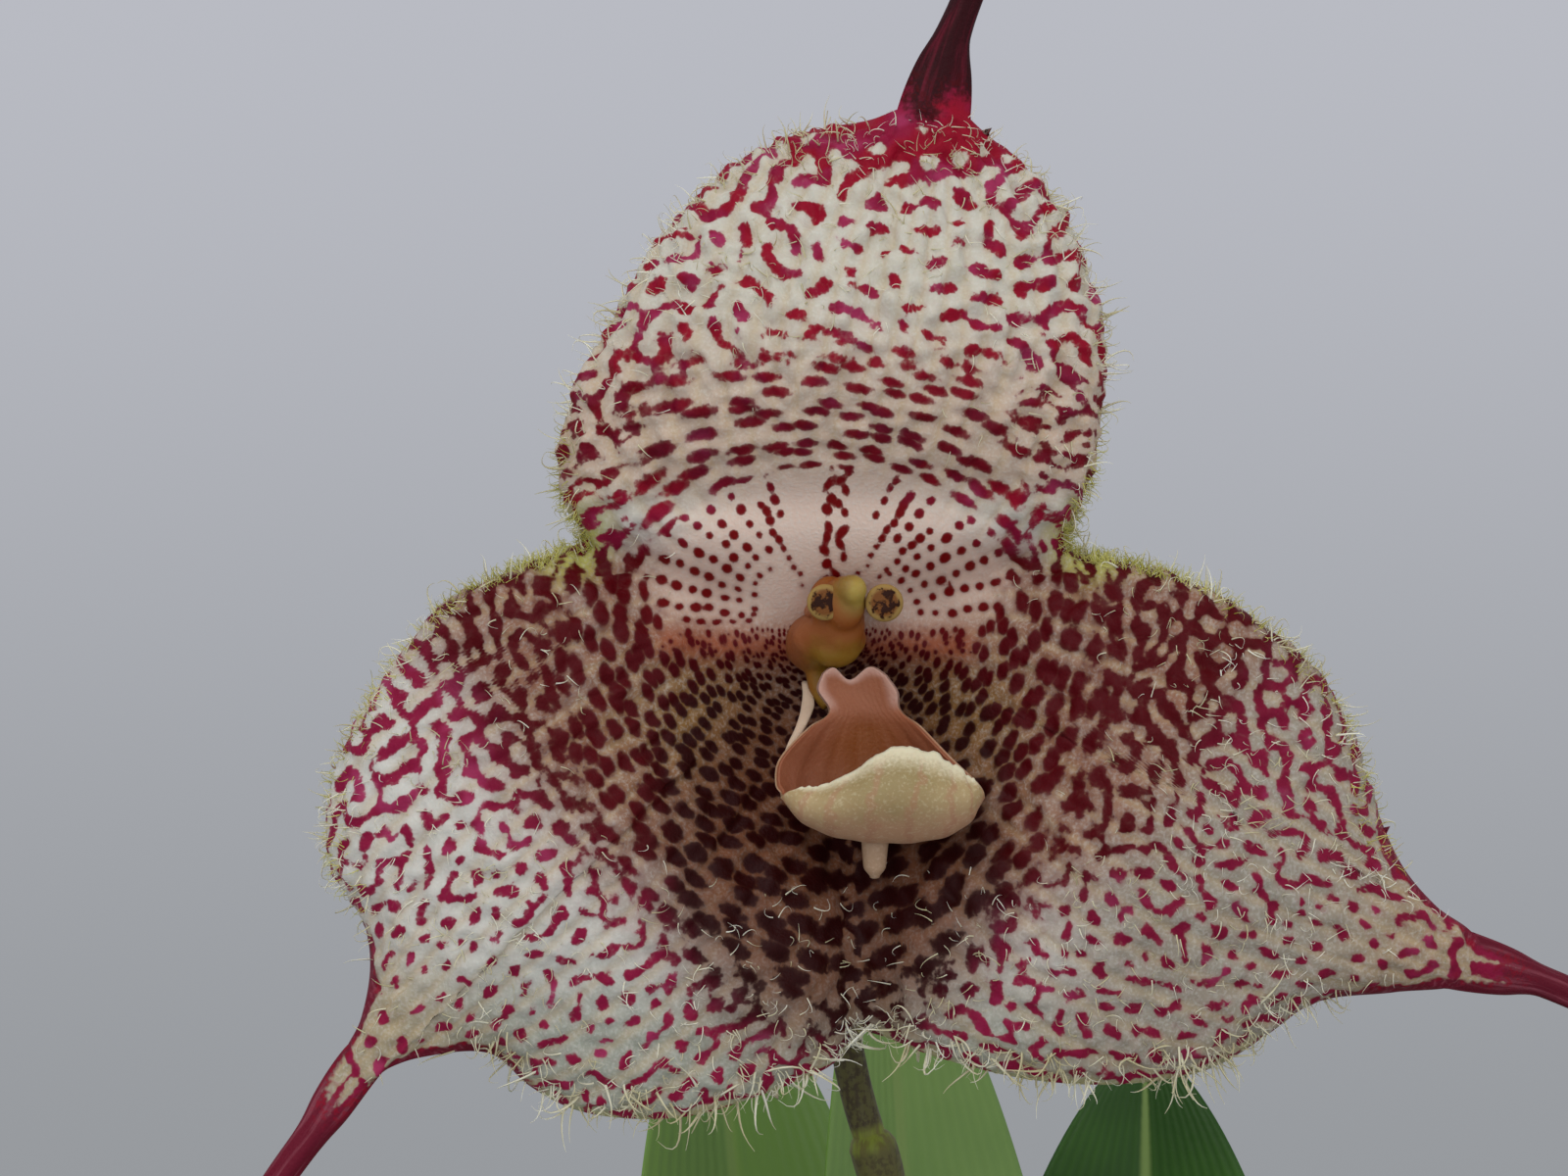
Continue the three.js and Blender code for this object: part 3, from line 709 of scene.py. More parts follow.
@dataclass
class SepalShape:
    """The face of the three joined sepals and how their margin rolls back."""

    thickness: float = 0.9
    rim_thickness: float = 0.6
    roll_start: float = 0.82
    roll_span: float = 0.095
    lean: float = 2.5
    roll: float = 110
    spread: float = 1.015
    mounds: Tuple[Mound, ...] = (
        Mound(1, -5, 11.5, 9.5, -9.5),
        Mound(0.5, 16.5, 11, 8.5, 3.4),
        Mound(-15.5, -13, 8.5, 8.5, 2.6),
        Mound(16.5, -13.5, 9.5, 8.5, 2.6),
    )
    folds: Tuple[Fold, ...] = (
        Fold((-2.2, -1.4), (-8.5, -0.9), 1.3, 0.9),
        Fold((2.4, -1.2), (7.5, -1.2), 1.2, 0.8),
        Fold((-7, 1), (-14.4, 4.6), 2.3, -2.2),
        Fold((7, 1), (14.2, 4.8), 2.3, -2.2),
        Fold((1.7, -13), (2, -23.4), 2.4, -2.6),
        Fold((-9, 7.2), (9.5, 7.6), 1.7, -0.8),
        Fold((0.4, 10), (4, 26), 0.8, -0.5),
    )
    flatter: Tuple[Triple, ...] = (
        (79, 14, 82), (223.5, 12, 80), (333, 12, 80), (250, 34, 60), (300, 34, 60), (274.5, 18, 30),
    )
    margin: Curve = field(init=False)

    def __post_init__(self) -> None:
        """Lays the margin, anticlockwise from the notch on the viewer's right."""
        points = np.array(DORSAL_MARGIN + LEFT_MARGIN + RIGHT_MARGIN) * self.spread
        self.margin = Curve(np.column_stack([points, np.zeros(len(points))]), closed=True, samples=6000)

    def face_height(self, x: Array, y: Array) -> Array:
        """Gives how far the face stands before its plane."""
        return sum(part.at(x, y) for part in (*self.mounds, *self.folds))

    def roll_at(self, angle: Array) -> Array:
        """Gives how far the margin is rolled back.

        Args:
            angle: The angle round the column, in degrees.

        Returns:
            The roll, in radians.
        """
        roll = np.full_like(angle, self.roll)
        for centre, reach, less in self.flatter:
            away = np.abs((angle - centre + 540) % 360 - 180)
            roll = roll - less * (1 - smooth(away, 0, reach))
        return np.radians(np.maximum(roll, 15))

    def point(self, share: Array, r: Array) -> Tuple[Array, Array]:
        """Gives points of the face.

        Args:
            share: Where on the margin their ray ends, from 0 to 1 round it.
            r: How far out they lie on it, from 0 to 1.

        Returns:
            The points, and their places on the face when it is rolled out flat.
        """
        edge = self.margin.at(np.ravel(share) % 1.0).reshape(*np.shape(share), 3)
        ex, ey = edge[..., 0], edge[..., 1]
        reach = np.hypot(ex, ey)
        roll = self.roll_at(np.degrees(np.arctan2(ey, ex)) % 360)
        q = np.maximum(0, (r - self.roll_start) / (1 - self.roll_start))
        flat = (1 - self.roll_span) * np.minimum(r, self.roll_start) / self.roll_start
        widest = np.sin(np.minimum(roll, np.pi / 2))
        s = flat + self.roll_span * np.sin(q * roll) / widest
        fall = self.roll_span * reach * (1 - np.cos(q * roll)) + self.lean * s * s
        out = flat + self.roll_span * q * roll / widest
        x, y = s * ex, s * ey
        return np.stack([x, y, self.face_height(x, y) - fall], -1), np.stack([out * ex, out * ey], -1)

    def normal(self, share: Array, r: Array, step: float = 0.004) -> Array:
        """Gives the face's direction, towards the viewer where it is flat."""
        ahead = self.point(share, r)[0] - self.point(share, np.maximum(r - step, 0))[0]
        around = self.point(share + step / 4, r)[0] - self.point(share - step / 4, r)[0]
        return unit(np.cross(ahead, around))


class Raster:
    """A sheet of numbers over the rolled-out sepals, made by rule and read between its points."""

    def __init__(self, pitch: float = 0.08, low: Tuple[float, float] = (-34.0, -32.0),
                 size: Tuple[float, float] = (78, 66)) -> None:
        """Lays the sheet.

        Args:
            pitch: How far apart its points are, in millimetres.
            low: Its lower left corner.
            size: Its width and height.
        """
        self.pitch = pitch
        self.low = np.array(low)
        self.shape = (int(size[0] / pitch), int(size[1] / pitch))
        u = self.low[0] + pitch * np.arange(self.shape[0])
        v = self.low[1] + pitch * np.arange(self.shape[1])
        self.u, self.v = np.meshgrid(u, v, indexing="ij")

    def read(self, numbers: Array, places: Array) -> Array:
        """Reads between the sheet's points.

        Args:
            numbers: What the sheet holds.
            places: Where it is read, in millimetres.

        Returns:
            One number for each place.
        """
        at = (places - self.low) / self.pitch
        at = np.clip(at, 0, np.array(self.shape) - 1.001)
        i, j = at[..., 0].astype(int), at[..., 1].astype(int)
        a, b = at[..., 0] - i, at[..., 1] - j
        return ((1 - a) * (1 - b) * numbers[i, j] + a * (1 - b) * numbers[i + 1, j]
                + (1 - a) * b * numbers[i, j + 1] + a * b * numbers[i + 1, j + 1])

    def lumps(self, length: float, seed: int) -> Array:
        """Makes even lumps.

        Args:
            length: How far apart the lumps are, in millimetres.
            seed: Its random seed.

        Returns:
            The sheet's numbers, mostly between -2 and 2.
        """
        white = np.random.default_rng(seed).standard_normal(self.shape)
        across = np.fft.fftfreq(self.shape[0], self.pitch)[:, None]
        up = np.fft.fftfreq(self.shape[1], self.pitch)[None]
        band = np.exp(-(((np.hypot(across, up) * length - 1) / 0.35) ** 2))
        made = np.fft.ifft2(np.fft.fft2(white) * band).real
        return made / made.std()


@dataclass(frozen=True)
class Patch:
    """A part of the sepals where the spots differ, in the flower's millimetres."""

    x: float
    y: float
    across: float
    up: float
    amount: float

    def at(self, x: Array, y: Array) -> Array:
        """Gives its amount at each place."""
        return self.amount * np.exp(-((((x - self.x) / self.across) ** 2 + ((y - self.y) / self.up) ** 2) ** 1.5))


@dataclass
class Spots:
    """The sepals' spots: rows of dots over the column, and dashes and blotches that grow further out.

    Veins run from the column's foot and close in on each tail's root. The marks grow from chance, each one
    keeping the others away, as they do on the flower: more across the veins than along them.
    """

    inner: float = 0.6
    middle: float = 0.84
    outer: float = 1.15
    upper: float = 1.5
    near: float = 0.153
    far: float = 0.265
    side: float = 0.27
    gain: float = 1.6
    rounds: int = 8
    uneven: float = 0.55
    uneven_apart: float = 1.6
    at_veins: float = 0.2
    at_upper_veins: float = 0.45
    vein_apart: float = 0.15
    sway: float = 0.35
    edge: float = 0.15
    cuts_apart: float = 2.3
    cut_width: float = 0.13
    cut_depth: float = 1.7
    lane: Tuple[float, float] = (0.088, 0.1)
    lane_long: Tuple[float, float] = (1.9, 2.7)
    melt: float = 26.0
    seed: int = 11
    fewer: Tuple[Patch, ...] = (
        Patch(4.4, 20.6, 5.2, 6.5, 1.0),
        Patch(-4.5, 18.5, 4.5, 6.0, 0.6),
        Patch(-16.5, -19.0, 7.5, 4.2, 1.05),
        Patch(-11.5, -24.5, 6.5, 3.2, 1.25),
        Patch(-22.5, -21.5, 3.5, 3.0, 0.7),
        Patch(-20.0, -12.5, 5.0, 3.0, 0.6),
        Patch(-24.5, -18.0, 4.0, 5.5, 0.7),
        Patch(-24.5, -24.0, 4.5, 3.0, 0.9),
        Patch(15.0, -16.0, 4.0, 3.2, 0.85),
        Patch(17.0, -21.8, 9.0, 4.0, 0.95),
        Patch(25.5, -16.5, 7.0, 5.0, 0.9),
        Patch(31.0, -18.5, 5.0, 3.0, 0.9),
        Patch(19.0, -9.5, 3.0, 2.5, 0.4),
        Patch(-5.8, -4.8, 3.4, 2.6, 0.45),
        Patch(6.5, -5.2, 3.4, 2.6, 0.4),
        Patch(1.0, 10.5, 9.0, 4.0, 0.35),
    )
    more: Tuple[Patch, ...] = (
        Patch(5.0, 30.2, 8.5, 4.0, 2.8),
        Patch(0.5, -14.0, 9.5, 8.0, 0.35),
        Patch(-14.0, 13.0, 3.5, 8.0, 0.15),
        Patch(15.0, 13.0, 3.2, 8.5, 0.15),
        Patch(-18.0, -3.0, 8.0, 7.0, 0.4),
        Patch(19.0, -3.0, 9.0, 6.5, 0.62),
    )
    ridges: Tuple[Fold, ...] = (Fold((-2.2, -1.4), (-9.0, -0.9), 1, 1), Fold((2.4, -1.2), (7.8, -1.2), 1, 1))
    pole: float = 1.12
    rows: Tuple[Tuple[float, float, float, float], ...] = (
        (7, 5.5, 11, 0.9), (15, 5.5, 11.5, 0.92), (22.5, 5.2, 12, 0.94), (30, 5.0, 11.5, 0.96), (37, 4.6, 11, 0.96),
        (43.5, 4.2, 8.4, 0.62), (51, 6.4, 9.6, 0.95), (58, 3.0, 8.8, 0.58), (66, 7.0, 9.4, 0.8),
        (112, 7.0, 9.4, 0.8), (119, 2.8, 8.6, 0.58), (127, 5.6, 9.8, 0.92), (135, 4.6, 10.5, 0.95),
        (142.5, 4.8, 11, 0.92), (150, 4.8, 11.5, 0.96), (157.5, 4.6, 11.5, 0.94), (165, 4.4, 11, 0.92),
        (172, 4.2, 10, 0.9), (178, 4.6, 9, 0.9),
    )

    def flow(self, u: Array, v: Array) -> Tuple[Array, Array, Array]:
        """Gives the veins' direction and how far apart they lie.

        Args:
            u: Across the rolled-out face.
            v: Up it.

        Returns:
            The direction's two parts, and the angle between the lines to a vein's two ends.
        """
        turn = np.degrees(np.arctan2(v, u)) % 360
        du, dv, between = np.zeros_like(u), np.zeros_like(u), np.zeros_like(u)
        for lobe in LOBES:
            inside = lobe.holds(turn)
            tx, ty = lobe.from_root(u, v, self.pole)
            here, there = u * u + v * v + 0.3, tx * tx + ty * ty + 0.3
            du = np.where(inside, u / here - tx / there, du)
            dv = np.where(inside, v / here - ty / there, dv)
            angle = np.arctan2(v, u) - np.arctan2(-ty, -tx)
            between = np.where(inside, (angle + np.pi) % (2 * np.pi) - np.pi, between)
        length = np.hypot(du, dv) + 1e-9
        return du / length, dv / length, between

    def lanes(self, u: Array, v: Array) -> Tuple[Array, Array]:
        """Lays the places out in lanes along the veins, finer towards the column, for the short dashes.

        Args:
            u: Across the rolled-out face.
            v: Up it.

        Returns:
            Each place's position along and across the lanes, and how much it takes of the dashes.
        """
        turn, out = np.degrees(np.arctan2(v, u)) % 360, np.hypot(u, v)
        _, _, between = self.flow(u, v)
        along, across, clear = np.zeros_like(u), np.zeros_like(u), np.full_like(u, 9.0)
        for number, lobe in enumerate(LOBES):
            inside = lobe.holds(turn)
            there = np.hypot(*lobe.from_root(u, v, self.pole))
            apart, long = self.lane[number == 0], self.lane_long[number == 0]
            along = np.where(inside, np.log((out + 0.4) / (there + 0.4)) / apart + 50 * number, along)
            across = np.where(inside, between / apart / long, across)
            aside = np.radians(np.abs((turn - lobe.start + 180) % 360 - 180))
            clear = np.minimum(clear, np.where(aside < 1, out * np.sin(np.minimum(aside, 1)), 9.0))
        below = np.hypot(u, 0.72 * v)
        above = (1 - smooth(v + 0.12 * np.abs(u), 13.5, 18.5)) * (1 - 0.8 * smooth(np.abs(u), 9, 13))
        share = np.where(v > 3, above, 1 - smooth(below, 12.5, 19.5))
        return np.stack([along, across, 0 * along], -1), share * smooth(clear, 0.3, 0.6)

    def vein(self, u: Array, v: Array) -> Array:
        """Gives 1 on a vein and 0 between two."""
        _, _, between = self.flow(u, v)
        return np.exp(-(((between / self.vein_apart % 1.0 - 0.5) / 0.16) ** 2)) * smooth(np.hypot(u, v), 6, 10)

    def fan(self, u: Array, v: Array) -> Array:
        """Gives 1 in the pale fan over the column, where the dots stand in rows."""
        wide = 1.15 - 0.2 * smooth(v, 0, 3.5)
        return smooth(v, -0.6, 0.4) * (1 - smooth(np.hypot(u * wide, v * 1.22), 10.2, 11.4))

    def ridge(self, u: Array, v: Array) -> Array:
        """Gives 1 on the two ridges beside the column, where the dots are very fine."""
        away = [fold.away(u, v) for fold in self.ridges]
        return np.exp(-((np.minimum(*away) / 1.1) ** 2))

    def settings(self, u: Array, v: Array) -> Tuple[Array, Array, Array]:
        """Gives what the marks are like at each place.

        Args:
            u: Across the rolled-out face.
            v: Up it.

        Returns:
            How far apart they are along the veins, how many times longer they are across them, and how
            much of the face they take, 0 for about half.
        """
        out = np.hypot(u, v)
        pitch = mix(self.inner, self.middle, smooth(out, 5, 11))
        pitch = mix(pitch, self.outer, smooth(out, 16, 26))
        pitch = mix(pitch, self.upper, smooth(v, 12, 22))
        low = smooth(v, 3, 7) * (1 - smooth(v, 11, 15))
        pitch = pitch * (1 - 0.14 * low)
        long = mix(1.2, 1.65, smooth(out, 5, 10)) - 0.5 * smooth(out, 15, 25) - 0.35 * smooth(-v, 6, 12)
        more = sum(p.at(u, v) for p in self.more) - sum(p.at(u, v) for p in self.fewer)
        more = more - mix(self.at_veins, self.at_upper_veins, smooth(v, 5, 9)) * self.vein(u, v)
        more = more - 3 * self.fan(u, v) - 1.4 * self.ridge(u, v)
        return pitch, long, more

    def grow(self, sheet: Raster) -> Array:
        """Grows the marks on a sheet.

        Args:
            sheet: The sheet.

        Returns:
            A number for each of its points, from -1 between the marks to 1 in them.
        """
        rng = np.random.default_rng(self.seed)
        turned = self.sway * sheet.lumps(5.0, self.seed + 1)
        du, dv, _ = self.flow(sheet.u, sheet.v)
        du, dv = du * np.cos(turned) - dv * np.sin(turned), du * np.sin(turned) + dv * np.cos(turned)
        pitch, long, more = self.settings(sheet.u, sheet.v)
        more = (more + self.uneven * sheet.lumps(self.uneven_apart, self.seed + 2)).ravel()
        rows, columns = sheet.shape
        i, j = np.meshgrid(np.arange(rows), np.arange(columns), indexing="ij")
        taps = np.arange(-3, 4) * 0.8
        weights = np.exp(-taps ** 2 / 2)
        weights = weights / weights.sum()

        def places(reach: Array, x: Array, y: Array) -> List[Array]:
            """Lists which points are weighed together, along one direction."""
            found = []
            for tap in taps:
                step = tap * reach / sheet.pitch
                to_i = np.clip(np.rint(i + step * x), 0, rows - 1)
                to_j = np.clip(np.rint(j + step * y), 0, columns - 1)
                found.append((to_i * columns + to_j).astype(np.int32).ravel())
            return found

        near = places(self.near * pitch, du, dv), places(self.near * pitch * long, -dv, du)
        far = places(self.far * pitch, du, dv), places(self.side * pitch, -dv, du)

        def soften(field: Array, ways: Tuple[List[Array], List[Array]]) -> Array:
            """Spreads each point's number over its neighbours."""
            for way in ways:
                field = sum(weight * field.take(place) for weight, place in zip(weights, way))
            return field

        def even(field: Array) -> Array:
            """Takes out what is finer than the sheet can hold."""
            field = field.reshape(rows, columns)
            for axis in (0, 1):
                field = 0.5 * field + 0.25 * (np.roll(field, 1, axis) + np.roll(field, -1, axis))
            return field.ravel()

        field = rng.standard_normal(rows * columns)
        for _ in range(self.rounds):
            close = soften(even(field), near)
            field = close - soften(close, far)
            field = np.tanh(self.gain * field / field.std() + more)
        cut = np.exp(-((sheet.lumps(self.cuts_apart, self.seed + 3) / self.cut_width) ** 2))
        crown = self.more[0].at(sheet.u, sheet.v) / self.more[0].amount
        cut = cut * mix(0.8, 1.1, smooth(sheet.v, 5, 9)) * (1 - 0.7 * crown)
        return even(even(field + 0.85 * crown.ravel() - self.cut_depth * cut.ravel())).reshape(rows, columns)

    def in_rows(self, rng: np.random.Generator) -> Array:
        """Places the dots over the column and the two rows on the midrib.

        Args:
            rng: The source of chance.

        Returns:
            For each, its place, half length, half width, and the direction of its length.
        """
        made = []
        for angle, start, end, apart in self.rows:
            c, s = math.cos(math.radians(angle)), math.sin(math.radians(angle))
            for out in np.arange(start, end, apart):
                at = out + rng.normal(0, 0.06)
                sway = rng.normal(0, 0.09)
                size = mix(0.13, 0.26, float(smooth(out, 3, 8))) * rng.uniform(0.85, 1.2)
                made.append((at * c - sway * s, at * s + sway * c, size * rng.uniform(1, 1.35), size, c, s))
        for lane, (low, high) in ((-0.3, (2.6, 10.5)), (0.5, (3.0, 10.0)), (0.3, (9.6, 16.0))):
            up = low
            while up < high:
                long, lean = rng.uniform(0.25, 0.65), rng.normal(0.05, 0.55)
                x = lane + 0.05 * up + rng.normal(0, 0.14)
                made.append((x, up, long, rng.uniform(0.2, 0.34), math.sin(lean), math.cos(lean)))
                up += 0.7 * long + rng.uniform(0.2, 0.75)
        return np.array(made)

    def draw(self, sheet: Raster) -> Array:
        """Draws every mark.

        Args:
            sheet: The sheet to draw on.

        Returns:
            How deep each of the sheet's points lies inside a mark, in millimetres, negative outside.
        """
        total = np.full(sheet.shape, math.exp(-self.melt * self.edge))
        for x, y, long, wide, ax, ay in self.in_rows(np.random.default_rng(self.seed)):
            reach = long + 0.5
            i, j = (int((c - low - reach) / sheet.pitch) for c, low in ((x, sheet.low[0]), (y, sheet.low[1])))
            n = int(2 * reach / sheet.pitch) + 2
            part = np.s_[i:i + n, j:j + n]
            a, b = sheet.u[part] - x, sheet.v[part] - y
            along, across = (a * ax + b * ay) / long, (b * ax - a * ay) / wide
            deep = (1 - np.sqrt(along * along + across * across)) * wide
            total[part] += np.exp(self.melt * np.maximum(deep, -1.0))
        return np.maximum(np.log(total) / self.melt, self.edge * self.grow(sheet))


@dataclass(frozen=True)
class SepalFinish(Finish):
    """Spotted, warty petal flesh that turns to a dark tail."""

    name: str = "spotted_sepal"
    gloss: float = 0.12
    glow: float = 0.1
    glow_radius: Triple = (0.5, 0.3, 0.25)
    glow_scale: float = 0.0006
    white: Colour = seen(192, 190, 181)
    cream: Colour = seen(188, 180, 156)
    beige: Colour = seen(156, 142, 114)
    # Painted shade: a greyer, darker ground on the lower lobes, which face down, and on the right lateral sepal, away
    # from the light.
    low: Colour = seen(145, 147, 132)
    warm: Colour = seen(184, 158, 136)
    # The laterals' dense brownish ground colour; on the right lateral sepal it is also painted shade.
    rich: Colour = seen(134, 96, 76)
    olive: Colour = seen(130, 98, 48)
    # The cup's darker olive-brown ground: partly its own colour, partly painted shade in the hollow.
    deep: Colour = seen(102, 60, 36)
    pale: Colour = seen(216, 190, 172)
    orange: Colour = seen(136, 68, 42)
    vein: Colour = seen(182, 158, 118)
    lime: Colour = seen(166, 164, 84)
    # Painted highlight: the colour of the glints on the flesh.
    glint: Colour = seen(214, 214, 206)
    crimson: Colour = seen(138, 8, 34)
    magenta: Colour = seen(130, 18, 54)
    faded: Colour = seen(160, 54, 94)
    dark_red: Colour = seen(74, 1, 8)
    maroon: Colour = seen(38, 4, 3)
    rust: Colour = seen(110, 6, 8)
    tail_dark: Colour = seen(46, 6, 12)
    tail_red: Colour = seen(100, 20, 38)
    tail_light: Colour = seen(150, 86, 96)
    reverse: Colour = seen(168, 152, 130)
    reverse_dark: Colour = seen(112, 60, 72)

    def dress(self, graph: Graph, shader: bpy.types.Node) -> None:
        """Paints the ground, the spots and the tails, and gives the flesh its fine grain.

        Args:
            graph: The material's graph.
            shader: Its shader.
        """
        here = graph.here()
        fine, broad, edge = graph.noise(here, 5200, 2), graph.noise(here, 420, 3), graph.noise(here, 2600, 2)
        cup, olive, dorsal, rich, warm = (graph.read(name) for name in ("cup", "olive", "dorsal", "rich", "warm"))
        ridge, fan, back, tail = (graph.read(name) for name in ("ridge", "fan", "back", "tail"))
        ground = graph.layers(
            # The low layer is painted shade on the lower lobes and the right lateral sepal.
            self.white, (dorsal * 0.4 + broad * 0.6 - 0.2, self.cream), (graph.read("low") * 0.9, self.low),
            (graph.read("beige") * 0.95, self.beige), (warm * 0.8, self.warm),
            # Darker ground where the colour is dense, and painted shade on the right lateral sepal.
            (rich * (0.6 + 0.7 * broad), self.rich), (graph.read("vein") * 0.4, self.vein),
            # The cup's ground is darkened, partly its own colour and partly painted shade in the hollow.
            (olive * (0.6 + 0.5 * broad), self.olive), (cup * 0.92, self.deep), (fan * 0.9, self.pale),
            (ridge * 0.85, self.orange), (graph.read("lime"), self.lime),
            # Painted glints: fine specks of painted highlight, fewer in the cup and on the ridges.
            (graph.rise(fine, 0.4, 0.78) * (0.3 - cup * 0.2) * (1 - ridge * 0.8), self.glint))
        patch = graph.noise(here, 330, 2)
        ink = graph.layers(
            self.magenta, (dorsal, self.crimson), (graph.rise(patch, 0.45, 0.57) * 0.8, self.magenta),
            (graph.rise(patch, 0.56, 0.68) * 0.6, self.faded),
            # The marks turn dark red there as well, which on the right lateral sepal is partly painted shade.
            (graph.rise(rich + warm * 0.6 + broad * 0.4, 0.3, 1.1), self.dark_red), (fan, self.rust),
            (graph.rise(cup + olive * 0.5 + broad * 0.3, 0.2, 1.0), self.maroon))
        dots = graph.value("ShaderNodeTexVoronoi", None, {"Vector": here, "Scale": 1750.0}, "Distance")
        dots = (0.31 - dots) * 0.5 - (1 - ridge) * 0.3
        rugged = (edge - 0.5) * (0.34 - fan * 0.24)
        streak = graph.read("streak", "Vector")
        cells = graph.value("ShaderNodeTexVoronoi", {"voronoi_dimensions": "2D"},
                            {"Vector": streak, "Scale": 1.0, "Randomness": 0.85}, "Distance")
        dashes = (graph.read("thick") * 0.1 + 0.44 - dorsal * 0.03 - cells + (broad - 0.5) * 0.2) * 0.55
        dashed = graph.read("dash") * graph.rise(fan, 0.55, 0.25)
        spot = graph.blend(dashed, graph.read("spot"), dashes)
        depth = graph.math("MAXIMUM", spot, dots) + rugged * (1 - dashed * 0.45)
        ground = graph.blend(graph.rise(depth, -0.16, 0.02) * (0.14 + rich * 0.3 - fan * 0.1), ground, ink)
        spotted = graph.rise(depth, -0.03, 0.035)
        worn_ink = graph.blend(graph.rise(depth, 0.0, 0.1) * 0.7 + 0.3, graph.blend(0.2, ink, ground), ink)
        front = graph.blend(spotted, ground, worn_ink)
        rear = graph.blend(graph.rise(graph.read("spot") + (broad - 0.5) * 0.3, -0.16, 0.16) * 0.6, self.reverse,
                           self.reverse_dark)
        skin = graph.blend(back, front, rear)
        lines, tone = graph.noise(streak, 2.2, 3, 0.6), graph.read("tone")
        pale = graph.blend(tone, self.tail_red, self.tail_light)
        speck = graph.blend(tone, self.dark_red, self.crimson)
        dark = graph.layers(
            self.tail_dark, (tone, self.tail_red), (graph.rise(lines, 0.48, 0.72) * (0.75 - tone * 0.25), pale),
            (graph.rise(edge, 0.48, 0.6) * graph.rise(tail, 1.0, 0.7) * 0.6, speck))
        worn = graph.rise(tail + (broad - 0.5) * 0.4 + (edge - 0.5) * 0.8, 0.3, 0.7)
        relief = fine * 0.55 + edge * 0.45 + spotted * 0.1
        feed(graph, shader, graph.blend(worn, skin, dark), 0.44 + fine * 0.25 - spotted * 0.04, relief, 0.06)


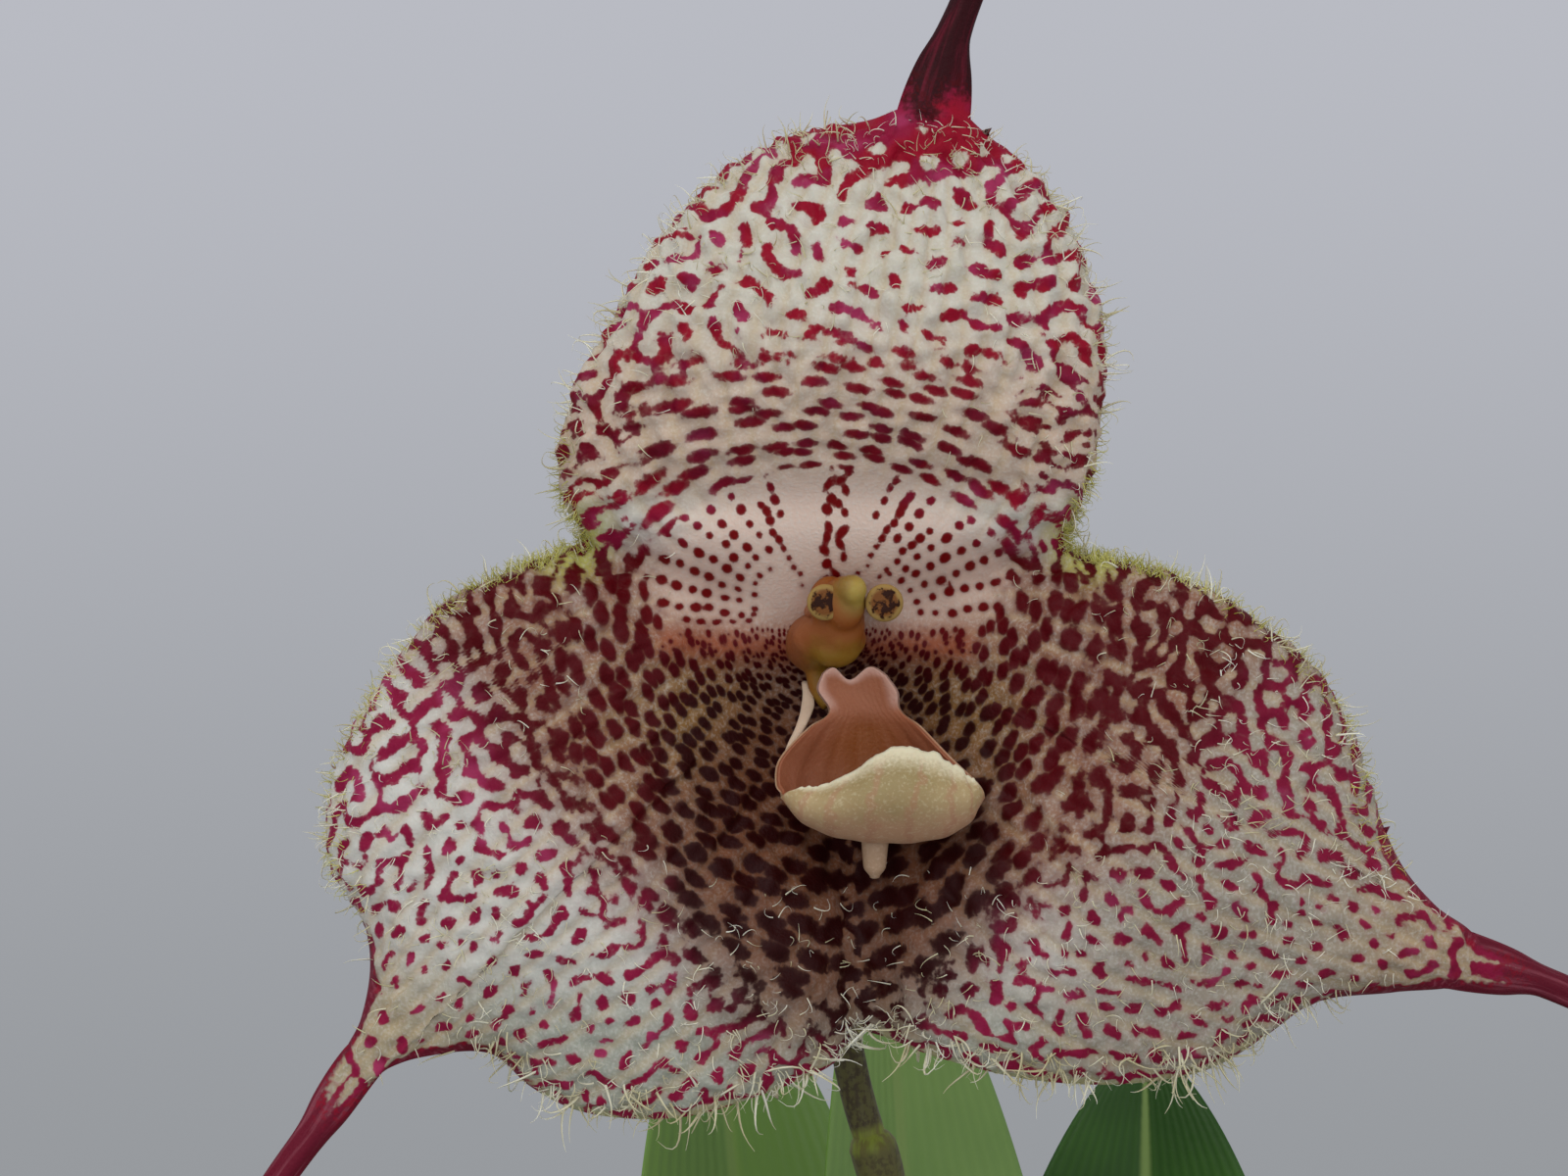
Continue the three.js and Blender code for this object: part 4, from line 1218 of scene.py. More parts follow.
@dataclass
class Sepals:
    """The cup of three joined sepals with its tails, as one closed skin."""

    shape: SepalShape = field(default_factory=SepalShape)
    spots: Spots = field(default_factory=Spots)
    grid: int = 262
    bulge: float = 0.22
    tail_half: int = 11
    tail_rings: int = 72
    tail_root: float = 1.05
    tail_end: float = 0.42
    tail_flare: float = 0.8
    closer: float = 1.14
    pucker: float = 0.15
    nose: float = 1.03
    sheet: Raster = field(default_factory=Raster)

    def square(self, cells: int) -> Tuple[Array, Array]:
        """Spreads a square grid over the disc.

        Args:
            cells: The grid's cells on each side.

        Returns:
            Each point's place round the margin and how far out it is.
        """
        line = np.linspace(-1, 1, cells + 1)
        a, b = np.meshgrid(line, line, indexing="ij")
        r = np.maximum(np.abs(a), np.abs(b))
        safe = np.where(r < 1e-9, 1, r)
        east = np.abs(a) >= np.abs(b)
        turn = np.where(east, b / safe * np.sign(np.where(a == 0, 1, a)) * np.pi / 4,
                        np.pi / 2 - a / safe * np.sign(np.where(b == 0, 1, b)) * np.pi / 4)
        turn = turn + np.where(east & (a < 0), np.pi, 0) + np.where(~east & (b < 0), np.pi, 0)
        return turn / (2 * np.pi) % 1.0, r ** self.closer

    def rim(self, cells: int) -> Array:
        """Lists the grid's outer points, anticlockwise.

        Args:
            cells: The grid's cells on each side.

        Returns:
            Their indices, from the middle of the first side on.
        """
        n = cells + 1
        index = np.arange(n * n).reshape(n, n)
        loop = np.concatenate([index[-1, :-1], index[::-1, -1][:-1], index[0, ::-1][:-1], index[:-1, 0]])
        return np.roll(loop, -cells // 2)

    def gap(self, lobe: Lobe, ring: Array) -> Array:
        """Finds the part of the rim that a tail grows out of.

        Args:
            lobe: The sepal that the tail belongs to.
            ring: The rim's points.

        Returns:
            The part's places in the rim, in order.
        """
        best = np.argmax(ring[:, :2] @ lobe.aim() - 0.6 * np.linalg.norm(ring[:, :2] - np.array(lobe.root), axis=1))
        return ((best - self.tail_half) // 2 * 2 + np.arange(2 * self.tail_half + 1)) % len(ring)

    def marks(self, flat: Array, r: Array, back: float, depth: Array) -> Dict[str, Array]:
        """Tells the finish what each point is like.

        Args:
            flat: The points' places on the rolled-out face.
            r: How far out they lie.
            back: 1 on the reverse.
            depth: How deep they lie in a spot.

        Returns:
            One number for each point, by name.
        """
        u, v = flat[..., 0], flat[..., 1]
        # 1 in the hollow of the cup, whose ground is darkened, partly as painted shade.
        cup = 1 - smooth(np.hypot((u - 0.3) / 8.5, (v + 13.5) / 9.5), 0.7, 1.6)
        side = np.hypot(u - 0.5, 1.15 * (v - 1.0))
        rich = 1 - smooth(side, 17, 26.5) + 0.4 * smooth(v, -5, 0) * smooth(np.abs(u), 12, 18)
        near = np.minimum(*(np.hypot(u - x, v - y) for x, y in ((-14.8, 4.9), (15.2, 4.8))))
        nose, aside = np.full_like(u, 99.0), np.full_like(u, 9.0)
        for lobe in LOBES:
            ahead, (dx, dy) = lobe.aim(), lobe.from_root(u, v, self.nose)
            nose = np.minimum(nose, np.hypot(dx, dy))
            aside = np.where(np.hypot(dx, dy) < 14, np.abs(dx * ahead[1] - dy * ahead[0]), aside)
        fan = np.hypot(u * (1.15 - 0.2 * smooth(v, 0, 4)), v * 1.22)
        values = {
            "spot": depth,
            "cup": cup,
            "olive": np.exp(-(((np.abs(u) - 7.5) / 5) ** 2) - ((v + 5.5) / 4.2) ** 2),
            # Dense colour round the cup, plus painted shade on the right lateral sepal, from the term in u.
            "rich": np.minimum(rich + 0.35 * smooth(u, 8, 16), 1) * (1 - smooth(v, 3, 6)),
            # Painted shade: 1 on the lower lobes, which face down, and on the right lateral sepal, away from the light.
            "low": np.maximum(smooth(-v, 17.5, 24), smooth(u, 10, 19) * (1 - smooth(v, 2, 6))),
            "warm": smooth(v, 6, 9) * (1 - smooth(v, 11, 20)),
            "beige": (1 - smooth(nose, 4, 12)) * (1 - smooth(v, -6, 0)),
            "dorsal": smooth(v, 4.5, 7.5),
            "ridge": self.spots.ridge(u, v),
            "fan": smooth(v, -1.5, 2.0) * (1 - smooth(fan, 8.5, 13.0)),
            "vein": self.spots.vein(u, v) * (1 - back),
            "dash": self.spots.lanes(u, v)[1] * (1 - back),
            "thick": self.spots.settings(u, v)[2],
            "lime": np.maximum(1 - smooth(near, 1.0, 3.4), 0.45 * smooth(r, 0.93, 1.0) * smooth(nose, 4, 10)),
            "back": np.full_like(u, back),
            "tail": np.maximum((0.25 + 0.45 * smooth(v, 0, 9)) * (1 - smooth(nose, 0.0, 2.6)),
                               0.95 * (1 - smooth(nose, 7, 15)) * smooth(r, 0.92, 0.975) * smooth(aside, 0.3, 1.6)
                               * (1 - smooth(v, 0, 9))),
            "tone": smooth(-v, -12, -4),
        }
        return {k: np.ravel(x) for k, x in values.items()}

    def tail(self, skin: Skin, lobe: Lobe, front: Array, middle: Array, back: Array, known: Dict[str, Array]) -> None:
        """Draws a tail out of a gap in the rim.

        Args:
            skin: The sepals' skin.
            lobe: The sepal that it belongs to.
            front: The gap's points on the face, anticlockwise round the flower.
            middle: The rim's two points at the gap's start and end.
            back: The gap's points on the reverse, in the same order.
            known: The face's values at the skin's points so far, by name.
        """
        points = np.concatenate(skin.points)
        loop = np.concatenate([front, middle[1:], back[::-1], middle[:1]])
        m, n = len(front), len(back)
        turn = np.radians(np.concatenate([180 - 180 * np.arange(1, m + 1) / (m + 1), [0.0],
                                          -180 * np.arange(1, n + 1) / (n + 1), [180.0]]))
        (x, y, _), (fx, fy, _) = lobe.tail[0], lobe.tail[2]
        depth = float(self.shape.face_height(np.array(x), np.array(y))) - self.shape.lean - self.tail_root
        curve = Curve([(px, py, depth + pz) for px, py, pz in lobe.tail])
        side = unit(np.array([y - fy, fx - x, 0.0]))
        rim = points[loop]
        shares = np.linspace(0, 0.2, 400)
        ahead = unit(np.array([fx - x, fy - y, 0.0]))
        start = shares[np.argmin(np.abs((curve.at(shares) - rim[:m].mean(0)) @ ahead - 0.5))]
        step = np.linspace(0, 1, self.tail_rings + 1)[1:]
        shares = start + (1 - start) * mix(0.32 * step, step ** 1.6, step)
        gone = (shares - start) * curve.length
        along = curve.along(shares)
        up = unit(np.cross(along, side))
        across = np.cross(up, along)
        origin, w = curve.at([start])[0], curve.along([start])[0]
        u0 = unit(np.cross(w, side))
        v0 = np.cross(u0, w)
        local = np.stack([(rim - origin) @ v0, (rim - origin) @ u0, (rim - origin) @ w], -1)
        flare = 1 - smooth(shares, 0.02, 0.17)
        girth = mix(self.tail_root, self.tail_end, shares ** 0.8)
        settle = smooth(gone, -0.6, 4.2)[:, None]
        flute = 1 + 0.05 * np.cos(5 * turn)[None] * smooth(gone, 2, 6)[:, None]
        wide = (girth + self.tail_flare * flare)[:, None] * np.cos(turn) * flute
        tall = (girth * (1 - 0.35 * flare))[:, None] * np.sin(turn) * flute
        wide = mix(local[:, 0], wide, settle)[..., None]
        tall = mix(local[:, 1], tall, settle)[..., None]
        behind = (local[:, 2] * (1 - smooth(gone, 0, 2.5)[:, None]))[..., None]
        body = curve.at(shares)[:, None] + wide * across[:, None] + tall * up[:, None] + behind * along[:, None]
        end, reach = curve.at([1.0])[0], self.tail_end
        for angle in (0.45, 0.9, 1.3):
            cap = (body[self.tail_rings - 1] - end) * math.cos(angle) + end + along[-1] * reach * math.sin(angle)
            body = np.concatenate([body, cap[None]])
        count = len(body)
        gone = np.concatenate([gone, np.full(3, gone[-1])])
        fade = (1 - smooth(gone, -0.4, lobe.fade))[:, None]
        values = {k: (v[loop][None] * fade).ravel() for k, v in known.items() if k != "streak"}
        values["tail"] = mix(known["tail"][loop][None], 1.0, 1 - fade).ravel()
        values["spot"] = (known["spot"][loop][None] + 0.3 * (1 - fade)).ravel()
        streak = np.broadcast_arrays(1.2 * np.cos(turn), 1.2 * np.sin(turn), 0.09 * gone[:, None] + 9 * lobe.start)
        values["streak"] = np.stack(streak, -1).reshape(-1, 3)
        values["tone"] = np.full(body[..., 0].size, lobe.tone)
        index = skin.add(body.reshape(-1, 3), **values) + np.arange(body[..., 0].size).reshape(count, -1)
        rows = np.vstack([loop[None], index])
        turned = np.roll(rows, -1, axis=1)
        skin.face(np.stack([rows[:-1], rows[1:], turned[1:], turned[:-1]], -1).reshape(-1, 4))
        tip = {k: v[-1:] for k, v in values.items()}
        centre = np.full(len(loop), skin.add((end + along[-1] * reach)[None], **tip))
        skin.face(np.stack([rows[-1], centre, turned[-1]], -1))

    def build(self) -> bpy.types.Object:
        """Makes the piece.

        Returns:
            The sepals.
        """
        skin = Skin("sepals_skin", Place.FLOWER)
        depth_sheet = self.spots.draw(self.sheet)
        lumps = self.sheet.lumps(2.3, 5) + 0.6 * self.sheet.lumps(1.1, 6)
        loops, known = [], []
        for cells, back in ((self.grid, 0.0), (self.grid // 2, 1.0)):
            share, r = self.square(cells)
            points, flat = self.shape.point(share, r)
            across = np.gradient(points, axis=0)
            normal = unit(np.cross(across, np.gradient(points, axis=1)))
            out = np.hypot(flat[..., 0], flat[..., 1])
            depth = self.sheet.read(depth_sheet, flat)
            open_air = smooth(out, 7, 13) * (1 - smooth(r, 0.94, 1.0))
            puff = 0.6 * self.sheet.read(lumps, flat) - 0.7 * self.spots.vein(flat[..., 0], flat[..., 1])
            offset = self.pucker * puff * open_air * (1 + 0.5 * smooth(flat[..., 1], 8, 14))
            if back:
                offset = 0.6 * offset - mix(self.shape.thickness, self.shape.rim_thickness, smooth(r, 0.8, 1.0))
            points = points + normal * offset[..., None]
            values = self.marks(flat, r, back, depth)
            values["streak"] = self.spots.lanes(flat[..., 0], flat[..., 1])[0].reshape(-1, 3)
            start = skin.add(points.reshape(-1, 3), **values)
            known.append(values)
            n = cells + 1
            index = start + np.arange(n * n).reshape(n, n)
            faces = np.stack([index[:-1, :-1], index[1:, :-1], index[1:, 1:], index[:-1, 1:]], -1).reshape(-1, 4)
            skin.face(faces[:, ::-1] if back else faces)
            loops.append(start + self.rim(cells))
        front, back = loops
        points = np.concatenate(skin.points)
        pair = np.repeat(back, 2)
        pair_next = np.roll(back, -1).repeat(2)
        rear = 0.5 * (points[pair] + points[np.where(np.arange(len(front)) % 2 == 0, pair, pair_next)])
        ring = points[front]
        around = np.roll(ring, -1, axis=0) - np.roll(ring, 1, axis=0)
        away = unit(np.cross(around, ring - rear))
        gaps = [(lobe, self.gap(lobe, ring)) for lobe in LOBES]
        step = np.arange(len(front))
        clear = np.min([np.where(np.isin(step, steps), 0, np.minimum(
            (steps[0] - step) % len(front), (step - steps[-1]) % len(front))) for _, steps in gaps], axis=0)
        edge = skin.add(0.5 * (ring + rear) + self.bulge * smooth(clear, 0, 9)[:, None] * away, **{
            k: 0.5 * (known[0][k][front] + known[1][k][pair - len(known[0][k])]) for k in known[0]})
        middle = edge + np.arange(len(front))
        everything = {k: np.concatenate([part[k] for part in skin.values]) for k in known[0]}
        closed = np.ones(len(front), bool)
        for _, steps in gaps:
            closed[steps[:-1]] = False
        a, b = np.flatnonzero(closed), (np.flatnonzero(closed) + 1) % len(front)
        skin.face(np.stack([front[a], middle[a], middle[b], front[b]], -1))
        even = a[a % 2 == 0]
        one, two = (even + 1) % len(front), (even + 2) % len(front)
        here, there = back[even // 2], back[(even // 2 + 1) % len(back)]
        skin.face(np.stack([middle[even], here, middle[one]], -1))
        skin.face(np.stack([middle[one], here, there], -1))
        skin.face(np.stack([middle[one], there, middle[two]], -1))
        for lobe, steps in gaps:
            rear_steps = back[steps[::2] // 2]
            self.tail(skin, lobe, front[steps], middle[steps[[0, -1]]], rear_steps, everything)
        return hand_in(skin.name, skin.mesh(), SepalFinish(), "sepal", "sepals")


# The flower's middle.


@dataclass(frozen=True)
class ColumnFinish(Finish):
    """Waxy orange-brown flesh with a yellow-green cap."""

    name: str = "waxy_column"
    gloss: float = 0.3
    glow: float = 0.35
    glow_radius: Triple = (0.9, 0.5, 0.25)
    glow_scale: float = 0.001
    brown: Colour = seen(132, 74, 28)
    rosy: Colour = seen(136, 80, 46)
    yellow: Colour = seen(128, 94, 28)
    cap: Colour = seen(130, 102, 44)
    tip: Colour = seen(156, 134, 62)
    cap_at: Triple = (-0.0103, -0.0431, 0.2640)

    def dress(self, graph: Graph, shader: bpy.types.Node) -> None:
        """Paints the post, its yellow foot and its cap.

        Args:
            graph: The material's graph.
            shader: Its shader.
        """
        here = graph.here()
        parts = graph.node("ShaderNodeSeparateXYZ", None, {"Vector": here})
        up = Socket(graph, parts.outputs["Z"]) * 1000 - FLOWER_AT[2]
        across = Socket(graph, parts.outputs["X"]) * 1000 - FLOWER_AT[0]
        broad, fine = graph.noise(here, 900, 3), graph.noise(here, 5200, 2)
        from_cap = graph.value("ShaderNodeVectorMath", {"operation": "DISTANCE"},
                               {"Vector": here, "Vector_001": self.cap_at}, "Value") * 1000
        low = graph.rise(up * -1 + broad * 1.4, 1.1, 2.4) * graph.rise(across + broad, -1.4, 0.2)
        colour = graph.layers(
            self.brown, (graph.rise(across * -1 + broad * 1.4, 0.8, 2.6), self.rosy), (low, self.yellow),
            (graph.rise(from_cap + broad * 0.8, 2.4, 1.2), self.cap),
            (graph.rise(from_cap + broad * 0.5 - across * 0.3, 0.9, 0.2), self.tip))
        feed(graph, shader, colour, 0.34 + fine * 0.2, fine, 0.03)


@dataclass(frozen=True)
class PetalFinish(Finish):
    """Cream-tan flesh with dark warts in the middle of its face."""

    name: str = "petal_flesh"
    gloss: float = 0.12
    glow: float = 0.15
    glow_radius: Triple = (0.6, 0.4, 0.2)
    glow_scale: float = 0.0005
    stem: Colour = seen(160, 104, 70)
    rim: Colour = seen(146, 118, 66)
    middle: Colour = seen(108, 66, 30)
    dots: Colour = seen(42, 16, 5)

    def dress(self, graph: Graph, shader: bpy.types.Node) -> None:
        """Paints the face by how far from its middle a point lies.

        Args:
            graph: The material's graph.
            shader: Its shader.
        """
        here = graph.here()
        eye = graph.read("eye")
        fine = graph.noise(here, 6500, 2)
        cells = graph.noise(here, 2300, 2, 0.6)
        colour = graph.blend(graph.rise(graph.read("stem"), 0.0, 1.0), self.rim, self.stem)
        colour = graph.blend(graph.rise(eye + cells * 0.4, 0.3, 0.9), colour, self.middle)
        spotted = graph.rise(cells + eye * 0.16 + (fine - 0.5) * 0.2, 0.56, 0.68) * graph.rise(eye + cells, 0.7, 1.0)
        feed(graph, shader, graph.blend(spotted, colour, self.dots), 0.4 + fine * 0.2, spotted * 0.6 + fine * 0.3, 0.05)


@dataclass(frozen=True)
class LipFinish(Finish):
    """Cream flesh outside, pinkish-brown and finely lined inside."""

    name: str = "lip_flesh"
    gloss: float = 0.4
    glow: float = 0.2
    glow_radius: Triple = (0.8, 0.5, 0.35)
    glow_scale: float = 0.0008
    cream: Colour = seen(164, 142, 100)
    beige: Colour = seen(142, 124, 80)
    # Pale rim colour, also used for painted glints.
    pale: Colour = seen(208, 198, 166)
    pink: Colour = seen(142, 84, 54)
    brown: Colour = seen(124, 64, 14)
    side: Colour = seen(140, 82, 54)
    line: Colour = seen(166, 116, 80)
    faint: Colour = seen(160, 106, 82)
    belly: Colour = seen(182, 138, 108)
    ear: Colour = seen(186, 146, 130)

    def dress(self, graph: Graph, shader: bpy.types.Node) -> None:
        """Paints the two sides, the fine lines and the faint veins.

        Args:
            graph: The material's graph.
            shader: Its shader.
        """
        here = graph.here()
        fine, broad = graph.noise(here, 5200, 3), graph.noise(here, 700, 2)
        across, down, inside = graph.read("across"), graph.read("down"), graph.read("inside")
        rays = graph.math("SINE", across * 95 + broad * 7) * 0.5 + 0.5
        aside = graph.math("ABSOLUTE", across - 0.5)
        inner = graph.layers(
            self.pink, (graph.rise(down + broad * 0.2, 0.08, 0.3),
                        graph.blend(graph.rise(aside + broad * 0.2, 0.15, 0.5), self.brown, self.side)),
            (graph.rise(rays + (fine - 0.5) * 1.4, 0.7, 1.3) * 0.12, self.line))
        veins = graph.math("SINE", across * 46 + (broad - 0.5) * 5) * 0.5 + 0.5
        colour = graph.layers(
            self.beige, (graph.rise(aside + broad * 0.2, 0.1, 0.42), self.cream),
            (graph.rise(down + broad * 0.1, 0.93, 0.78) * 0.8, self.belly),
            (graph.rise(veins, 0.82, 1.0) * 0.38, self.faint),
            (graph.rise(down + (fine - 0.5) * 0.06, 0.9, 0.99), self.pale),
            # Painted glints: fine pale specks of painted highlight on the outer face.
            (graph.rise(fine, 0.5, 0.75) * 0.3, self.pale),
            (graph.rise(inside + (fine - 0.5) * 0.3, 0.35, 0.65), inner),
            (graph.read("ear") * (0.7 + fine * 0.4), self.ear))
        feed(graph, shader, colour, 0.4 + fine * 0.22, fine * 0.7 + rays * inside * 0.15, 0.05)


@dataclass
class FlowerMiddle:
    """The column with its foot and cap, and the two petals beside it."""

    post: Tuple[Triple, ...] = ((-0.6, -1.1, -9), (-0.4, -0.8, -6), (0.1, -0.3, -4.4), (0.9, 0.7, -3.2),
                                (1.45, 1.7, -2.6))
    girth: Tuple[float, float] = (2.1, 0.5)
    masses: Tuple[Tuple[Triple, Triple], ...] = (
        ((1.38, 2.12, -2.3), (0.9, 0.882, 0.855)),
        ((0.1, -0.75, -5.5), (2.2, 1.5, 1.5)),
        ((0.45, -1.0, -4.9), (1.6, 1.45, 1.3)),
        ((0.75, 0.1, -4.4), (1.45, 1.9, 1.3)),
        ((0.98, 1.35, -3.1), (1.25, 1.6, 1.05)),
        ((0.15, 1.35, -4.0), (1.3, 1.6, 0.9)),
    )
    foot: Tuple[Triple, ...] = ((-0.5, -2.0, -6.8), (-0.5, -3.4, -6.9), (0.2, -4.7, -6.6))
    foot_radius: float = 0.75
    stem: Tuple[float, float] = (0.35, 0.6)
    petals: Tuple[Tuple[str, Tuple[Triple, ...], float], ...] = (
        ("left", ((-1.1, 0.6, -9), (-0.8, 0.9, -5.4), (-0.4, 1.3, -3.4), (-0.15, 1.38, -2.6)), 1.05),
        ("right", ((2.6, 0.9, -9), (2.8, 1.1, -5.4), (3.05, 1.3, -3.4), (3.25, 1.35, -2.6)), 1.1),
    )

    def build_column(self) -> bpy.types.Object:
        """Makes the column.

        Returns:
            The piece.
        """
        skin = Skin("column_flesh", Place.FLOWER)
        points, _, _ = sections_along(Curve(self.post), np.linspace(0.22, 1, 60), lambda t: (
            mix(*self.girth, smooth(t, 0.15, 1)), 0.92 * mix(*self.girth, smooth(t, 0.15, 1)), 0.0), 40)
        skin.tube(points)
        points, _, _ = sections_along(Curve(self.foot), np.linspace(0, 1, 30), lambda t: (
            self.foot_radius * (1 - 0.25 * t), self.foot_radius * (1 - 0.25 * t), 0.0), 28)
        skin.tube(points)
        for at, radii in self.masses:
            skin.tube(ball(at, radii))
        return hand_in(skin.name, fused(skin, voxel=0.085, rounds=60), ColumnFinish(), "column", "column")

    def build_petals(self) -> List[bpy.types.Object]:
        """Makes the two petals.

        Returns:
            The pieces.
        """
        made = []
        for name, path, radius in self.petals:
            skin = Skin(f"petal_{name}_flesh", Place.FLOWER)
            points, _, _ = sections_along(Curve(path), np.linspace(0.1, 1, 40), lambda t: (
                mix(*self.stem, t), mix(*self.stem, t), 0.0), 24)
            skin.tube(points)
            face = ball(path[-1], (radius, radius, 0.42 * radius), 36, 48)
            out = np.hypot(face[..., 0] - path[-1][0], face[..., 1] - path[-1][1]) / radius
            front = smooth(face[..., 2] - path[-1][2], 0, 0.3)
            face[..., 2] -= 0.1 * radius * front * np.exp(-((out / 0.6) ** 2))
            skin.tube(face)
            mesh = fused(skin, voxel=0.07, rounds=3)
            local = points_of(mesh)
            x = local[:, 0] - FLOWER_AT[0] - path[-1][0]
            y = local[:, 2] - FLOWER_AT[2] - path[-1][1]
            z = FLOWER_AT[1] - local[:, 1] - path[-1][2]
            keep_value(mesh, "eye", (1 - smooth(np.hypot(x, y) / radius, 0.4, 1.0)) * smooth(z, -0.2, 0.1))
            keep_value(mesh, "stem", smooth(-z, 0.4, 1.4))
            made.append(hand_in(skin.name, mesh, PetalFinish(), "petal", f"petal_{name}"))
        return made


@dataclass
class Lip:
    """The hinged scoop below the column, with its two ears and its tongue."""

    rows: Tuple[Tuple[Triple, ...], ...] = (
        ((-0.22, -2.72, -4.1), (0.35, -2.38, -4.3), (1.28, -3.1, -4.6), (2.44, -2.35, -4.35), (3.35, -2.85, -4.1)),
        ((-0.5, -3.65, -4.0), (0.45, -3.5, -4.4), (1.5, -3.75, -4.65), (2.7, -3.5, -4.45), (4.0, -3.85, -4.0)),
        ((0.15, -4.85, -4.1), (1.2, -4.85, -4.5), (2.1, -4.85, -4.6), (3.1, -4.85, -4.5), (4.1, -4.7, -4.1)),
        ((-0.9, -5.8, -3.2), (0.6, -6.1, -4.4), (2.3, -6.2, -4.9), (4.0, -6.1, -4.4), (5.2, -5.8, -3.1)),
        ((-2.7, -7.8, -2.0), (-0.3, -8.4, -4.2), (2.6, -8.7, -4.8), (5.1, -8.4, -4.2), (7.0, -7.7, -1.9)),
        ((-2.8, -8.9, -1.5), (-0.6, -10.5, -3.0), (2.9, -11.1, -3.4), (6.4, -10.6, -2.9), (8.6, -9.2, -1.1)),
        ((-2.6, -9.2, -1.1), (-0.5, -11.0, -1.4), (3.3, -11.7, -1.3), (6.9, -11.2, -1.1), (8.7, -9.5, -0.6)),
        ((-2.6, -9.4, -0.8), (-0.5, -10.3, 0.4), (3.6, -9.7, 1.4), (7.1, -9.9, 0.8), (8.7, -9.4, -0.2)),
        ((-2.5, -9.4, -0.6), (0.4, -8.8, 0.0), (4.2, -6.9, 0.3), (7.1, -7.9, 0.2), (8.6, -9.1, -0.1)),
    )
    thickness: float = 0.65
    rim: float = 0.3
    across: int = 96
    down: int = 128
    crown: float = 0.25
    crown_thickness: float = 0.32
    claw: Tuple[Triple, ...] = ((2.2, -5.2, -5.2), (1.6, -4.9, -5.7), (1.15, -4.8, -6.2))
    claw_radius: float = 0.45
    tongue: Tuple[Triple, ...] = ((2.75, -11.0, -2.5), (2.7, -13.0, -2.8), (2.7, -14.4, -3.1))
    tongue_half: Tuple[float, float] = (0.9, 0.6)
    strip: Tuple[Triple, ...] = ((-1.3, -3.3, -7.4), (-1.1, -4.4, -6.4), (-1.5, -5.7, -4.6), (-2.5, -7.4, -2.5))
    strip_half: Tuple[float, float] = (0.48, 0.14)
    seed: int = 4

    def shell(self, skin: Skin) -> None:
        """Draws the scoop: its inner face, its outer face and the rounded rim between them.

        Args:
            skin: The lip's skin.
        """
        rows = [Curve(row, samples=200).raw(np.linspace(0, 1, self.across + 1)) for row in self.rows]
        lines = np.stack(rows, 1)
        inner = np.stack([Curve(line, samples=200).raw(np.linspace(0, 1, self.down + 1)) for line in lines], 0)
        rng = np.random.default_rng(self.seed)
        a = np.linspace(0, 1, self.across + 1)[:, None]
        d = np.linspace(0, 1, self.down + 1)[None]
        out = unit(np.cross(np.gradient(inner, axis=0), np.gradient(inner, axis=1)))
        teeth = sum(np.interp(np.linspace(0, 1, self.across + 1), np.linspace(0, 1, n), rng.uniform(-1, 1, n))
                    for n in (22, 40, 80))[:, None]
        lift = unit(np.gradient(inner, axis=1))
        inner = inner + (0.08 * teeth * smooth(d, 0.93, 1.0) * smooth(a * (1 - a), 0, 0.05))[..., None] * lift
        flute = 0.03 * np.sin(a * 48 + 1.4 * np.sin(7 * d)) * smooth(d, 0.3, 0.45)
        wave = 0.1 * np.sin(a * 11 + 2) * smooth(d, 0.75, 1.0)
        inner = inner + ((flute + wave) * (1 + 0 * d))[..., None] * out
        edge = np.minimum(np.minimum(a, 1 - a) * self.across / 14, np.minimum(d, 1 - d) * self.down / 14)
        full = mix(self.crown_thickness, self.thickness, smooth(d, 0.8 * self.crown, 2 * self.crown))
        thick = mix(np.minimum(self.rim, full), full, smooth(edge, 0, 1.0))
        middle = inner + 0.5 * thick[..., None] * out
        outer = inner + thick[..., None] * out
        n, m = self.across + 1, self.down + 1
        rim_near = 1 - smooth(np.minimum(np.minimum(a, 1 - a) / 0.2, d / 0.09), 0.05, 0.9)
        share = {"across": a + 0 * d, "down": 0 * a + np.clip((d - self.crown) / (1 - self.crown), 0, 1),
                 "ear": rim_near * (1 - smooth(d, 0.7 * self.crown, 1.15 * self.crown))}
        share = {k: v.ravel() for k, v in share.items()}
        top = skin.add(inner, inside=np.ones(n * m), **share)
        low = skin.add(outer, inside=np.zeros(n * m), **share)
        index = np.arange(n * m).reshape(n, m)
        faces = np.stack([index[:-1, :-1], index[:-1, 1:], index[1:, 1:], index[1:, :-1]], -1).reshape(-1, 4)
        skin.face(top + faces)
        skin.face(low + faces[:, ::-1])
        loop = np.concatenate([index[:-1, 0], index[-1, :-1], index[:0:-1, -1], index[0, :0:-1]])
        centre = inner.reshape(-1, 3)[loop]
        around = unit(np.roll(centre, -1, axis=0) - np.roll(centre, 1, axis=0))
        away = unit(np.cross(out.reshape(-1, 3)[loop], around))
        rim = middle.reshape(-1, 3)[loop] + 0.12 * away
        edge_values = {k: v[loop] for k, v in share.items()}
        shown = mix(1.0, 0.2, smooth(edge_values["down"], 0.72, 0.86))
        start = skin.add(rim, inside=shown, **edge_values)
        here = np.arange(len(loop))
        there = np.roll(here, -1)
        skin.face(np.stack([top + loop[here], top + loop[there], start + there, start + here], -1))
        skin.face(np.stack([start + here, start + there, low + loop[there], low + loop[here]], -1))

